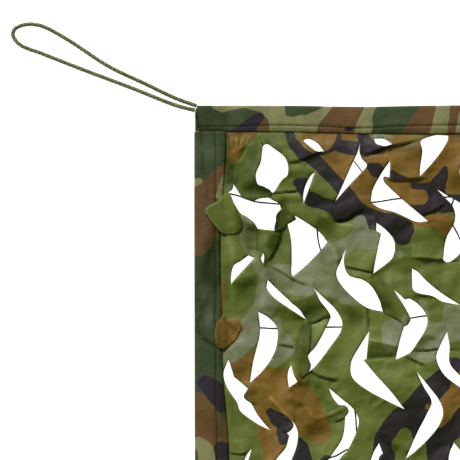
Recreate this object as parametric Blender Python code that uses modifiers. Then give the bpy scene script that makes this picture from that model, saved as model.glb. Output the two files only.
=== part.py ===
"""Camouflage net, 1 m square, laid flat with its face up: a printed cloth die-cut with leaf-like gaps,
its edges held in four folded strips, over a mesh of thin cord, with a cord loop at each corner.
Metres, +Z up. The top edge of the net lies towards +Y."""

import math
import random

import bmesh
import bpy
from mathutils import Vector

MM = 0.001
SIDE = 1000.0  # over the strips; all sizes below are in millimetres

CLOTH_THICK = 1.0
CLOTH_INSET = 4.0  # from the strips' folded edge to the cloth's own edge
CLOTH_Z = 1.8  # middle of the cloth inside the strips
CLOTH_RISE = 4.4  # how far the cloth stands above that between the strips
FLAT_MARGIN = 46.0  # the cloth lies level as far as this from the outer edge
RISE_OVER = 26.0
LIP_REACH = 15.0  # how far from a gap its lifted lip runs out
LIFT_LIMIT = 9.0  # where lips near one another lift together, they level off towards this
LIFT_NEAR = 160.0  # gaps farther away than this lift nothing at a place
LONG_EDGE = 90.0  # longer edges of the cloth's faces get a point in the middle

STRIP_THICK = 3.6
SLOT_LOW, SLOT_HIGH = 1.0, 2.6  # the space between a strip's two layers
FOLD_WALL = 3.0
STRIP_FOLD = 0.9  # rounding of the folded edge
APART = 0.3

CORD_MESH_WIDE = 1.4
CORD_MESH_THICK = 1.0
MESH_CELLS = 6
MESH_MARGIN = 32.0  # of the even mesh, from the outer edge
KNOT_SHIFT = 9.0  # most that a knot lies off its even place
CORNER_KNOT_IN = 1.2
STRAND_SAG = 3.0

LOOP_CORD = 5.0  # diameter
LOOP_STEP = 14.0
CORNER_CUT = (2.4, 5.14)  # the corner is cut from here along the top to here down the side

# Distance of each strip's inner edge from the outer edge, every 50 mm along it.
STRIP_WIDTHS = {
    "top": (30, 31, 31, 32, 33, 34, 34, 32, 31, 33, 36, 32, 31, 31, 34, 38, 34, 31, 31, 31, 30),
    "bottom": (30, 31, 32, 31, 31, 34, 36, 33, 31, 31, 32, 35, 39, 35, 32, 31, 31, 33, 32, 31, 30),
    "left": (36, 37.5, 34, 31, 31, 32, 33, 36, 40, 41, 38, 35, 33, 32, 34, 36, 35, 32, 31, 31, 31),
    "right": (31, 31, 32, 34, 33, 31, 31, 33, 36, 38, 35, 33, 32, 31, 31, 34, 36, 34, 32, 31, 31),
}

# How far each outer edge draws in, every 100 mm along it.
STRIP_EDGES = {
    "top": (0, 0, 0.4, 0.2, 0, 0.5, 1.2, 0.8, 0.2, 0, 0),
    "bottom": (0, 0, 0.8, 1.6, 1.2, 0.4, 0, 0.6, 1.0, 0, 0),
    "left": (0, 0, 0.3, 1.0, 2.0, 2.6, 2.0, 1.0, 0.4, 0, 0),
    "right": (0, 0, 1.0, 1.8, 1.4, 0.6, 0, 0.6, 1.2, 0, 0),
}

# Gaps of the top left quarter, one a row, in mm from the net's top left corner, x right and y down.
# A gap runs from its top tip to its end tip. Its two lips bow off the line between the tips, to the
# right of it where positive, at a quarter, a half and three quarters of the way. The last two columns
# are how high each lip lifts.
GAPS = (
    # top_x, top_y, end_x, end_y, left 1/4, 1/2, 3/4, right 1/4, 1/2, 3/4, lift left, lift right
    (85, 45.5, 93, 103, -7, -14, -18.5, 18, 22, 12.5, 6, 2),
    (130, 41, 154.5, 54, -1.5, -3, -2.2, 3.8, 3.6, 2.6, 2, 0),
    (214.5, 39.5, 236, 45.5, -5, -5, -3.8, 1.5, 2.2, 1.7, 2, 0),
    (297, 34.5, 269.5, 84, -13.5, -12.3, -6, 9, 5.7, 3, 2, 3),
    (198, 46, 169, 114, 1.5, 1.4, 0.7, 17, 12, 6, 2, -1),
    (143, 80, 130.5, 116, -2.3, -3.8, -3.3, 0.3, 0.1, 0.2, -1, 3),
    (234, 68, 280, 139, -38, -39, -20, -16, -12.5, -7, -1, 6),
    (42, 101, 94, 149, -9.5, -11, -11, 5, 18, 27, 5, 4),
    (118, 132, 117, 204, -5, -2.2, -2.3, 28, 36.5, 18, 3, -1),
    (217.5, 141, 212.5, 200.5, 6.4, 5, 2, 20, 25, 17.5, 6, 0),
    (291, 101, 301, 187, 15.5, 12.5, 0.5, 27, 34, 22, -2, 3),
    (70, 181, 43.5, 213.5, -6.5, -9.5, -8, 1.2, 0.8, 0.4, 0, 4),
    (82, 176.5, 82, 189.5, -1.5, -3, -2, 0.5, 1, 0.8, 0, 1),
    (87, 208, 134, 258, -9.5, -6.5, -2, -2.3, -0.4, 3.6, 3, -2),
    (142.5, 219, 136, 320, 16.6, 14.7, 1.8, 29, 34.3, 18.4, 6, 1),
    (180, 172, 225, 246.5, -23.5, -22, -14.5, -12.9, -1, 4.6, 0, 5),
    (260.5, 195, 316.5, 239, -18.7, -13, -8.6, -1.2, -1.5, 0, 3, 1),
    (236, 218, 241, 304, 12.2, 13, 4.8, 29, 39.5, 27.5, 6, 2),
    (76, 247, 66, 331, 4.4, 4, 1.2, 24, 25.3, 15.8, 2, 2),
    (40.5, 304, 90, 388.5, -20, -17, -13.5, -4, -5, -5, 3, -2),
    (114.5, 311, 113, 337, -2.3, -3.3, -2.8, 1.5, 4.8, 7, -1, 5),
    (117, 379.5, 95, 452, 1, -2.5, -8, 12.6, 12.2, 7.5, 6, 0),
    (209, 270, 250.5, 363, -32, -39, -21, -14.5, -14.5, -6, 1, 4),
    (302, 271, 334, 345, -22.5, -25, -16.5, -5, -12, -4.5, 1, -1),
    (160.5, 339, 152, 430, 22, 23, 16.5, 30.5, 39, 31, 5, 1),
    (265.5, 320, 253, 422.5, 19, 18.5, 8.8, 26.5, 37, 21.7, -2, 3),
    (67.5, 410, 57, 440, -1.5, -3, -2, 1.5, 2.4, 2, 1, 1),
    (220.5, 404, 206, 450, -2.9, -2.8, -2, 7.4, 6.5, 4, 1, 3),
    (310, 403, 314, 468, -7, -9.5, -7, 9, 14, 10, 3, 1),
    (327, 56, 322, 102, -5, -8, -4, 10, 14, 8, 2, 4),
)
GAPS_END = (330.0, 440.0)  # the quarter that the table covers

# The cuts that repeat over the rest of the cloth: height and lean of the line between the tips, then
# the bows and lifts as above.
CUTS = (
    # tall, lean, left 1/4, 1/2, 3/4, right 1/4, 1/2, 3/4, lift left, lift right
    (66, 2, -4, -2, -2, 19, 27, 15, 4, 1),
    (74, 38, -19, -18, -12, -5, -3, 1, 0, 5),
    (80, -6, 6, 5, 1, 20, 27, 17, 6, 1),
    (70, 40, -9, -7, -3, 2, 5, 6, 3, -1),
    (62, -22, -10, -12, -7, 3, 5, 4, 2, 4),
    (84, 30, -22, -26, -16, -7, -9, -5, 1, 4),
    (58, 8, -13, -15, -9, 2, 5, 4, -1, 5),
)
REPEAT_WIDE, REPEAT_TALL = 88.0, 46.5  # between cuts in a row, and between staggered rows
REPEAT_SEED = 11
REPEAT_FROM = (62.0, 60.0)
REPEAT_SHIFT = (8.0, 7.0)  # most that a cut lies off its even place
LEAN_SHIFT = 9.0
SMALLER = (1.0, 0.88, 0.76, 0.64, 0.54, 0.44)  # a cut that doesn't fit is tried again at these sizes
CUT_NEAR = 190.0  # cuts farther away than this can't meet
STRIP_LEFT = 7.5  # least cloth left between two gaps

# Knots of the cord mesh that show through the gaps: column, row, x, y.
KNOTS = (
    (0, 1, 0, 103),
    (1, 0, 150, 0),
    (1, 1, 143, 118),
    (2, 1, 312, 108.5),
    (1, 2, 170, 265.5),
    (2, 2, 325, 250),
    (0, 2, 0, 268),
    (1, 3, 198, 408),
    (2, 3, 338, 398),
)

# The corner loop's way, out of the top left corner and back to it: out to the left and up.
LOOP_WAY = (
    # left, up
    (-2.1, 0.3),
    (24, 9.8),
    (58, 26),
    (104, 48),
    (150, 78),
    (182, 95.5),
    (201, 98.3),
    (216, 93),
    (218.5, 84),
    (209, 73),
    (186, 64),
    (135, 44),
    (75.6, 21.6),
    (24, 1.2),
    (0.4, -5.1),
)


def remove_all():
    for ob in list(bpy.data.objects):
        bpy.data.objects.remove(ob, do_unlink=True)


def collection(name):
    made = bpy.data.collections.new(name)
    bpy.context.scene.collection.children.link(made)
    return made


def material(name, colour, roughness):
    made = bpy.data.materials.new(name)
    made.use_nodes = True
    shader = made.node_tree.nodes["Principled BSDF"]
    shader.inputs["Base Color"].default_value = (*colour, 1.0)
    shader.inputs["Roughness"].default_value = roughness
    shader.inputs["Metallic"].default_value = 0.0
    made.diffuse_color = (*colour, 1.0)
    return made


def place(x, y, z=0.0):
    """A point in mm from the top left corner, y down, as metres about the net's middle."""
    return Vector(((x - SIDE / 2) * MM, (SIDE / 2 - y) * MM, z * MM))


def smooth(t):
    t = min(max(t, 0.0), 1.0)
    return t * t * (3 - 2 * t)


def through(values, t):
    """A smooth run through evenly spaced values, t from 0 to 1."""
    at = min(max(t, 0.0), 1.0) * (len(values) - 1)
    k = min(int(at), len(values) - 2)
    f = at - k
    a, b = values[k], values[k + 1]
    before = values[k - 1] if k else 2 * a - b
    after = values[k + 2] if k + 2 < len(values) else 2 * b - a
    rise_a, rise_b = (b - before) / 2, (after - a) / 2
    return (
        a * (1 + 2 * f) * (1 - f) ** 2
        + b * f * f * (3 - 2 * f)
        + rise_a * f * (1 - f) ** 2
        - rise_b * f * f * (1 - f)
    )


class Gap:
    """One opened cut: its tips, the bows of its lips and their lifts."""

    def __init__(self, top, end, left, right, lifts, scale=1.0):
        mid = ((top[0] + end[0]) / 2, (top[1] + end[1]) / 2)
        self.top = [m + (p - m) * scale for m, p in zip(mid, top)]
        self.end = [m + (p - m) * scale for m, p in zip(mid, end)]
        self.left = [0.0, *(v * scale for v in left), 0.0]
        self.right = [0.0, *(v * scale for v in right), 0.0]
        self.lifts = lifts
        dx, dy = self.end[0] - self.top[0], self.end[1] - self.top[1]
        self.long = math.hypot(dx, dy)
        self.along = (dx / self.long, dy / self.long)
        self.side = (self.along[1], -self.along[0])

    def point(self, t, off):
        return (
            self.top[0] + self.along[0] * self.long * t + self.side[0] * off,
            self.top[1] + self.along[1] * self.long * t + self.side[1] * off,
        )

    def outline(self):
        steps = (0.13, 0.38, 0.62, 0.87) if self.long > 30 else (0.3, 0.7)
        right = [self.point(t, through(self.right, t)) for t in steps]
        left = [self.point(t, through(self.left, t)) for t in reversed(steps)]
        return [self.point(0, 0), *right, self.point(1, 0), *left]

    def lift(self, x, y):
        rx, ry = x - self.top[0], y - self.top[1]
        t = (rx * self.along[0] + ry * self.along[1]) / self.long
        if not -0.2 < t < 1.2:
            return 0.0
        off = rx * self.side[0] + ry * self.side[1]
        left, right = through(self.left, t), through(self.right, t)
        over_tips = 0.25 + 0.75 * math.sin(math.pi * min(max(t, 0.0), 1.0))
        if off < (left + right) / 2:
            return self.lifts[0] * over_tips * math.exp(-(((left - off) / LIP_REACH) ** 2))
        return self.lifts[1] * over_tips * math.exp(-(((off - right) / LIP_REACH) ** 2))


def distance(points, others):
    """The least distance between two outlines' corners and sides."""

    def to_side(p, a, b):
        dx, dy = b[0] - a[0], b[1] - a[1]
        t = ((p[0] - a[0]) * dx + (p[1] - a[1]) * dy) / (dx * dx + dy * dy)
        t = min(max(t, 0.0), 1.0)
        return math.hypot(p[0] - a[0] - dx * t, p[1] - a[1] - dy * t)

    def one_way(some, ring):
        return min(to_side(p, ring[k - 1], ring[k]) for p in some for k in range(len(ring)))

    return min(one_way(points, others), one_way(others, points))


def strip_width(name, along):
    return through(STRIP_WIDTHS[name], along / SIDE)


def strip_outer(name, along):
    """How far a strip's outer edge draws in from the square that holds the net."""
    return through(STRIP_EDGES[name], along / SIDE)


def strip_clear(name, along):
    """The strip's greatest width near a place, which a straight strand beside it has to clear."""
    return max(strip_width(name, min(max(along + d, 0.0), SIDE)) for d in (-36, -24, -12, 0, 12, 24, 36))


def inside_strips(points, spare):
    return all(
        strip_width("left", y) + spare < x < SIDE - strip_width("right", y) - spare
        and strip_width("top", x) + spare < y < SIDE - strip_width("bottom", x) - spare
        for x, y in points
    )


def all_gaps():
    gaps = [Gap(r[0:2], r[2:4], r[4:7], r[7:10], r[10:12]) for r in GAPS]
    outlines = [g.outline() for g in gaps]
    rng = random.Random(REPEAT_SEED)
    rows = int(SIDE / REPEAT_TALL) + 2
    for row in range(rows):
        y = REPEAT_FROM[1] + row * REPEAT_TALL
        for column in range(-1, int(SIDE / REPEAT_WIDE) + 1):
            x = REPEAT_FROM[0] + (column + 0.5 * (row % 2)) * REPEAT_WIDE
            x += rng.uniform(-REPEAT_SHIFT[0], REPEAT_SHIFT[0])
            cut = CUTS[(row * 3 + column * 2 + rng.randrange(2)) % len(CUTS)]
            top_y = y + rng.uniform(-REPEAT_SHIFT[1], REPEAT_SHIFT[1])
            lean = cut[1] + rng.uniform(-LEAN_SHIFT, LEAN_SHIFT)
            if x < GAPS_END[0] and top_y < GAPS_END[1]:
                continue
            tip = (x - lean / 2, top_y - cut[0] / 2)
            end = (x + lean / 2, top_y + cut[0] / 2)
            for scale in SMALLER:
                gap = Gap(tip, end, cut[2:5], cut[5:8], cut[8:10], scale)
                outline = gap.outline()
                if not inside_strips(outline, 3.0):
                    continue
                near = [o for o in outlines if max(abs(o[0][0] - tip[0]), abs(o[0][1] - tip[1])) < CUT_NEAR]
                if all(distance(outline, other) > STRIP_LEFT for other in near):
                    gaps.append(gap)
                    outlines.append(outline)
                    break
    return gaps, outlines


def cloth_height(x, y, gaps):
    """The middle of the cloth above the floor at a place, in mm."""
    edge = min(x, y, SIDE - x, SIDE - y)
    up = smooth((edge - FLAT_MARGIN) / RISE_OVER)
    if not up:
        return CLOTH_Z
    lift = sum(g.lift(x, y) for g in gaps)
    lift = LIFT_LIMIT * math.tanh(lift / LIFT_LIMIT)
    return CLOTH_Z + up * max(0.0, CLOTH_RISE + lift)


def flat_shape(name, outlines, half_thick=0.0, z=0.0):
    """A flat face or plate from closed outlines in mm: the first is its edge, the others its holes."""
    curve = bpy.data.curves.new(name, "CURVE")
    curve.dimensions = "2D"
    curve.fill_mode = "BOTH"
    curve.extrude = half_thick * MM
    for points in outlines:
        spline = curve.splines.new("POLY")
        spline.points.add(len(points) - 1)
        for at, (x, y) in zip(spline.points, points):
            at.co = (*place(x, y).xy, 0.0, 1.0)
        spline.use_cyclic_u = True
    holder = bpy.data.objects.new(name, curve)
    bpy.context.scene.collection.objects.link(holder)
    bpy.context.view_layer.update()
    graph = bpy.context.evaluated_depsgraph_get()
    mesh = bpy.data.meshes.new_from_object(holder.evaluated_get(graph), depsgraph=graph)
    mesh.name = name
    bpy.data.objects.remove(holder)
    bpy.data.curves.remove(curve)
    shape = bmesh.new()
    shape.from_mesh(mesh)
    bmesh.ops.remove_doubles(shape, verts=shape.verts, dist=1e-6)
    bmesh.ops.translate(shape, verts=shape.verts, vec=(0, 0, z * MM))
    bmesh.ops.recalc_face_normals(shape, faces=shape.faces)
    shape.to_mesh(mesh)
    shape.free()
    return mesh


def add(mesh, mat, where):
    mesh.materials.clear()
    mesh.materials.append(mat)
    ob = bpy.data.objects.new(mesh.name, mesh)
    where.objects.link(ob)
    return ob


def garnish_cloth(gaps, outlines, mat, where):
    low, high = CORNER_CUT[1] + 1.5, SIDE - CORNER_CUT[1] - 1.5
    steps = [low + (high - low) * k / 10 for k in range(1, 10)]
    ends = (low, *steps, high)
    edge = [(v, strip_outer("top", v) + CLOTH_INSET) for v in ends]
    edge += [(SIDE - strip_outer("right", v) - CLOTH_INSET, v) for v in ends]
    edge += [(v, SIDE - strip_outer("bottom", v) - CLOTH_INSET) for v in reversed(ends)]
    edge += [(strip_outer("left", v) + CLOTH_INSET, v) for v in reversed(ends)]
    mesh = flat_shape("garnish_cloth", [edge, *outlines])
    sheet = bmesh.new()
    sheet.from_mesh(mesh)
    for axis, at in ((0, FLAT_MARGIN), (0, SIDE - FLAT_MARGIN), (1, FLAT_MARGIN), (1, SIDE - FLAT_MARGIN)):
        normal = (1, 0, 0) if axis == 0 else (0, 1, 0)
        parts = sheet.verts[:] + sheet.edges[:] + sheet.faces[:]
        bmesh.ops.bisect_plane(sheet, geom=parts, dist=1e-6, plane_co=place(at, at), plane_no=normal)
    long_edges = [e for e in sheet.edges if not e.is_boundary and e.calc_length() > LONG_EDGE * MM]
    bmesh.ops.subdivide_edges(sheet, edges=long_edges, cuts=1)
    bmesh.ops.triangulate(sheet, faces=sheet.faces)

    def on_line(edge):
        """True along the lines where the cloth starts to rise, which stay as they are."""
        ends = [(SIDE / 2 - abs(v.co.x) / MM, SIDE / 2 - abs(v.co.y) / MM) for v in edge.verts]
        return any(all(abs(at[k] - FLAT_MARGIN) < 0.01 for at in ends) for k in (0, 1))

    inner = [e for e in sheet.edges if not e.is_boundary and not on_line(e)]
    bmesh.ops.beautify_fill(sheet, faces=sheet.faces, edges=inner)
    for vert in sheet.verts:
        x, y = vert.co.x / MM + SIDE / 2, SIDE / 2 - vert.co.y / MM
        near = [g for g in gaps if max(abs(g.top[0] - x), abs(g.top[1] - y)) < LIFT_NEAR]
        vert.co.z = cloth_height(x, y, near) * MM
    sheet.to_mesh(mesh)
    sheet.free()
    ob = add(mesh, mat, where)
    body = ob.modifiers.new("thickness", "SOLIDIFY")
    body.thickness = CLOTH_THICK * MM
    body.offset = 0.0
    return ob


def edge_strip(name, mat, where):
    """A strip folded over the cloth's edge: a U section carried along the edge as its width changes."""
    first, last = (0.0, SIDE)
    across = name in ("top", "bottom")
    stations = [SIDE * k / 20 for k in range(1, 20)]
    if across:
        stations = [first, CORNER_CUT[0], *stations, last - CORNER_CUT[0], last]
    else:
        column = 0 if name == "left" else SIDE
        gap = 1.0 + APART
        stations = [strip_width("top", column) + gap, *stations]
        stations.append(SIDE - strip_width("bottom", column) - gap)
    body = bmesh.new()
    rings = []
    for at in stations:
        out = strip_outer(name, at)
        if across and at in (first, last):
            out = CORNER_CUT[1]
        wide = strip_width(name, at)
        section = (
            # in from the outer edge, height
            (wide, 0),
            (out + STRIP_FOLD, 0),
            (out, STRIP_FOLD),
            (out, STRIP_THICK - STRIP_FOLD),
            (out + STRIP_FOLD, STRIP_THICK),
            (wide, STRIP_THICK),
            (wide, SLOT_HIGH),
            (out + FOLD_WALL, SLOT_HIGH),
            (out + FOLD_WALL, SLOT_LOW),
            (wide, SLOT_LOW),
        )
        ring = []
        for inward, z in section:
            spot = SIDE - inward if name in ("bottom", "right") else inward
            ring.append(body.verts.new(place(at, spot, z) if across else place(spot, at, z)))
        rings.append(ring)
    for one, two in zip(rings, rings[1:]):
        for k in range(len(one)):
            n = (k + 1) % len(one)
            body.faces.new((one[k], one[n], two[n], two[k]))
    body.faces.new(rings[0])
    body.faces.new(rings[-1])
    bmesh.ops.recalc_face_normals(body, faces=body.faces)
    mesh = bpy.data.meshes.new(name + "_strip")
    body.to_mesh(mesh)
    body.free()
    return add(mesh, mat, where)


def inset(ring, by):
    """A ring of points drawn in by a distance."""
    area = sum(a[0] * b[1] - b[0] * a[1] for a, b in zip(ring, ring[1:] + ring[:1]))
    turn = 1 if area > 0 else -1
    made = []
    for k, here in enumerate(ring):
        before, after = ring[k - 1], ring[(k + 1) % len(ring)]
        d1 = (here[0] - before[0], here[1] - before[1])
        d2 = (after[0] - here[0], after[1] - here[1])
        l1, l2 = math.hypot(*d1), math.hypot(*d2)
        n1 = (-d1[1] / l1 * turn, d1[0] / l1 * turn)
        n2 = (-d2[1] / l2 * turn, d2[0] / l2 * turn)
        nx, ny = n1[0] + n2[0], n1[1] + n2[1]
        grow = 2 * by / (nx * nx + ny * ny)
        made.append((here[0] + nx * grow, here[1] + ny * grow))
    return made


def cord_mesh(mat, where):
    rng = random.Random(5)
    n = MESH_CELLS
    charted = {(c, r): (x, y) for c, r, x, y in KNOTS}
    spare = APART + CORD_MESH_WIDE / 2 + 0.3
    knots = {}
    for c in range(n + 1):
        for r in range(n + 1):
            x, y = (MESH_MARGIN + (SIDE - 2 * MESH_MARGIN) * k / n for k in (c, r))
            x += rng.uniform(-KNOT_SHIFT, KNOT_SHIFT) if 0 < c < n else 0
            y += rng.uniform(-KNOT_SHIFT, KNOT_SHIFT) if 0 < r < n else 0
            x, y = charted.get((c, r), (x, y))
            if c == 0:
                x = strip_clear("left", y) + spare
            if c == n:
                x = SIDE - strip_clear("right", y) - spare
            if r == 0:
                y = strip_clear("top", x) + spare
            if r == n:
                y = SIDE - strip_clear("bottom", x) - spare
            if c in (0, n) and r in (0, n):
                y += CORNER_KNOT_IN if r == 0 else -CORNER_KNOT_IN
            knots[c, r] = (x, y)

    def strand(a, b):
        """Points between two knots, along the strip for the outer strands, with a slight sag inside."""
        (xa, ya), (xb, yb) = knots[a], knots[b]
        beside_strip = a[0] == b[0] in (0, n) or a[1] == b[1] in (0, n)
        parts = 4 if beside_strip else 2 if a[1] == b[1] else 1
        made = []
        for k in range(1, parts):
            x, y = xa + (xb - xa) * k / parts, ya + (yb - ya) * k / parts
            if a[0] == b[0] == 0:
                x = strip_clear("left", y) + spare
            elif a[0] == b[0] == n:
                x = SIDE - strip_clear("right", y) - spare
            elif a[1] == b[1] == 0:
                y = strip_clear("top", x) + spare
            elif a[1] == b[1] == n:
                y = SIDE - strip_clear("bottom", x) - spare
            elif a[1] == b[1]:
                y += STRAND_SAG
            made.append((x, y))
        return made

    rings = []
    outer = []
    for c in range(n):
        outer += [knots[c, 0], *strand((c, 0), (c + 1, 0))]
    for r in range(n):
        outer += [knots[n, r], *strand((n, r), (n, r + 1))]
    for c in range(n, 0, -1):
        outer += [knots[c, n], *reversed(strand((c - 1, n), (c, n)))]
    for r in range(n, 0, -1):
        outer += [knots[0, r], *reversed(strand((0, r - 1), (0, r)))]
    rings.append(inset(outer, -CORD_MESH_WIDE / 2))
    for c in range(n):
        for r in range(n):
            ring = [knots[c, r], *strand((c, r), (c + 1, r)), knots[c + 1, r]]
            ring += [*strand((c + 1, r), (c + 1, r + 1)), knots[c + 1, r + 1]]
            ring += [*reversed(strand((c, r + 1), (c + 1, r + 1))), knots[c, r + 1]]
            ring += [*reversed(strand((c, r), (c, r + 1)))]
            rings.append(inset(ring, CORD_MESH_WIDE / 2))
    mesh = flat_shape("cord_mesh", rings, CORD_MESH_THICK / 2, CORD_MESH_THICK / 2)
    return add(mesh, mat, where)


def even_steps(rows, step):
    """Points at about the given step along a smooth curve through the rows."""
    fine = []
    for k in range(len(rows) - 1):
        a, b = Vector(rows[k]), Vector(rows[k + 1])
        before = Vector(rows[k - 1]) if k else 2 * a - b
        after = Vector(rows[k + 2]) if k + 2 < len(rows) else 2 * b - a
        long, long_before, long_after = (b - a).length, (a - before).length, (after - b).length
        rise_a = (b - before) * long / (long + long_before)
        rise_b = (after - a) * long / (long + long_after)
        for i in range(24):
            f = i / 24
            fine.append(
                a * (1 + 2 * f) * (1 - f) ** 2
                + b * f * f * (3 - 2 * f)
                + rise_a * f * (1 - f) ** 2
                - rise_b * f * f * (1 - f)
            )
    fine.append(Vector(rows[-1]))
    total = sum((q - p).length for p, q in zip(fine, fine[1:]))
    count = max(2, round(total / step))
    made, run, k = [fine[0]], 0.0, 0
    for i in range(1, count):
        goal = total * i / count
        while run + (fine[k + 1] - fine[k]).length < goal:
            run += (fine[k + 1] - fine[k]).length
            k += 1
        part = (goal - run) / (fine[k + 1] - fine[k]).length
        made.append(fine[k].lerp(fine[k + 1], part))
    return made + [fine[-1]]


def corner_loop(name, right, low, mat, where):
    """A loop out of one corner, mirrored from the top left one."""
    curve = bpy.data.curves.new(name, "CURVE")
    curve.dimensions = "3D"
    curve.bevel_depth = LOOP_CORD / 2 * MM
    curve.bevel_resolution = 2
    curve.use_fill_caps = True
    points = even_steps(LOOP_WAY, LOOP_STEP)
    spline = curve.splines.new("POLY")
    spline.points.add(len(points) - 1)
    for at, (left, up) in zip(spline.points, points):
        x = SIDE + left if right else -left
        y = SIDE + up if low else -up
        at.co = (*place(x, y, LOOP_CORD / 2 + 0.05), 1.0)
    ob = bpy.data.objects.new(name, curve)
    where.objects.link(ob)
    curve.materials.append(mat)
    return ob


def main():
    remove_all()
    net = collection("camouflage_net")
    green = material("printed_cloth", (0.13, 0.20, 0.045), 0.55)
    strip = material("strip_cloth", (0.065, 0.10, 0.055), 0.65)
    black = material("mesh_cord", (0.02, 0.02, 0.02), 0.7)
    olive = material("loop_cord", (0.11, 0.14, 0.05), 0.75)
    gaps, outlines = all_gaps()
    garnish_cloth(gaps, outlines, green, net)
    for name in ("top", "bottom", "left", "right"):
        edge_strip(name, strip, net)
    cord_mesh(black, net)
    corner_loop("loop_top_left", False, False, olive, net)
    corner_loop("loop_top_right", True, False, olive, net)
    corner_loop("loop_bottom_left", False, True, olive, net)
    corner_loop("loop_bottom_right", True, True, olive, net)


main()
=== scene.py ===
"""Looks of the camouflage net: printed garnish cloth with its folds, folded edge strips with their
stitching, the cord mesh under the cloth and the braided corner loops.

Tables are in millimetres from the net's top left outer corner, x to the right and y down, as the net is
seen from above; place() turns them into the frame's metres."""

import math
import random

import bmesh
import bpy
import numpy as np
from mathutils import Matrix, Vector, kdtree, noise
from mathutils.geometry import delaunay_2d_cdt


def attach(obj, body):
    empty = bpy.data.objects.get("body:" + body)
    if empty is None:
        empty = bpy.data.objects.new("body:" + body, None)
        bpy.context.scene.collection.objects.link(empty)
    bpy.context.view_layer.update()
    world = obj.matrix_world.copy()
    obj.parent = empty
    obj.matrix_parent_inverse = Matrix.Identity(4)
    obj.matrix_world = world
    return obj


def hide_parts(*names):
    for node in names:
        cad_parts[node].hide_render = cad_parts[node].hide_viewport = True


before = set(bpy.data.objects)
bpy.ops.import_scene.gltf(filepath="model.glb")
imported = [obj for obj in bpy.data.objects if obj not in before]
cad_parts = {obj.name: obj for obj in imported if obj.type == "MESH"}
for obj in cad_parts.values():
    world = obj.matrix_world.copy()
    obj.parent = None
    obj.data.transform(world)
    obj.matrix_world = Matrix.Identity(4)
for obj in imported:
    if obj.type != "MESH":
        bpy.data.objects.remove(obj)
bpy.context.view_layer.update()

MM = 0.001
SIDE = 1000.0

# ---------------------------------------------------------------- what the construction settles

CLOTH_INSET = 4.0
CLOTH_Z = 1.8
STRIP_THICK = 3.6
LOOP_CORD = 5.0
CORNER_CUT = (3.6, 5.14)
MESH_CELLS = 6

# Distance of each strip's inner edge from the outer edge, every 50 mm along it.
STRIP_WIDTHS = {
    "top": (30, 31, 31, 32, 33, 34, 34, 32, 31, 33, 36, 32, 31, 31, 34, 38, 34, 31, 31, 31, 30),
    "bottom": (30, 31, 32, 31, 31, 34, 36, 33, 31, 31, 32, 35, 39, 35, 32, 31, 31, 33, 32, 31, 30),
    "left": (36, 37.5, 34, 31, 31, 32, 33, 36, 40, 41, 38, 35, 33, 32, 34, 36, 35, 32, 31, 31, 31),
    "right": (31, 31, 32, 34, 33, 31, 31, 33, 36, 38, 35, 33, 32, 31, 31, 34, 36, 34, 32, 31, 31),
}

# How far each outer edge draws in, every 100 mm along it.
STRIP_EDGES = {
    "top": (-0.8, -0.8, 0.6, -1.0, -0.6, 0.5, 1.2, 0.8, 0.2, 0, 0),
    "bottom": (0, 0, 0.8, 1.6, 1.2, 0.4, 0, 0.6, 1.0, 0, 0),
    "left": (-1.0, -1.1, -1.0, -0.8, -0.6, 0.6, 1.2, 1.0, 0.4, 0, 0),
    "right": (0, 0, 1.0, 1.8, 1.4, 0.6, 0, 0.6, 1.2, 0, 0),
}

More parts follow.
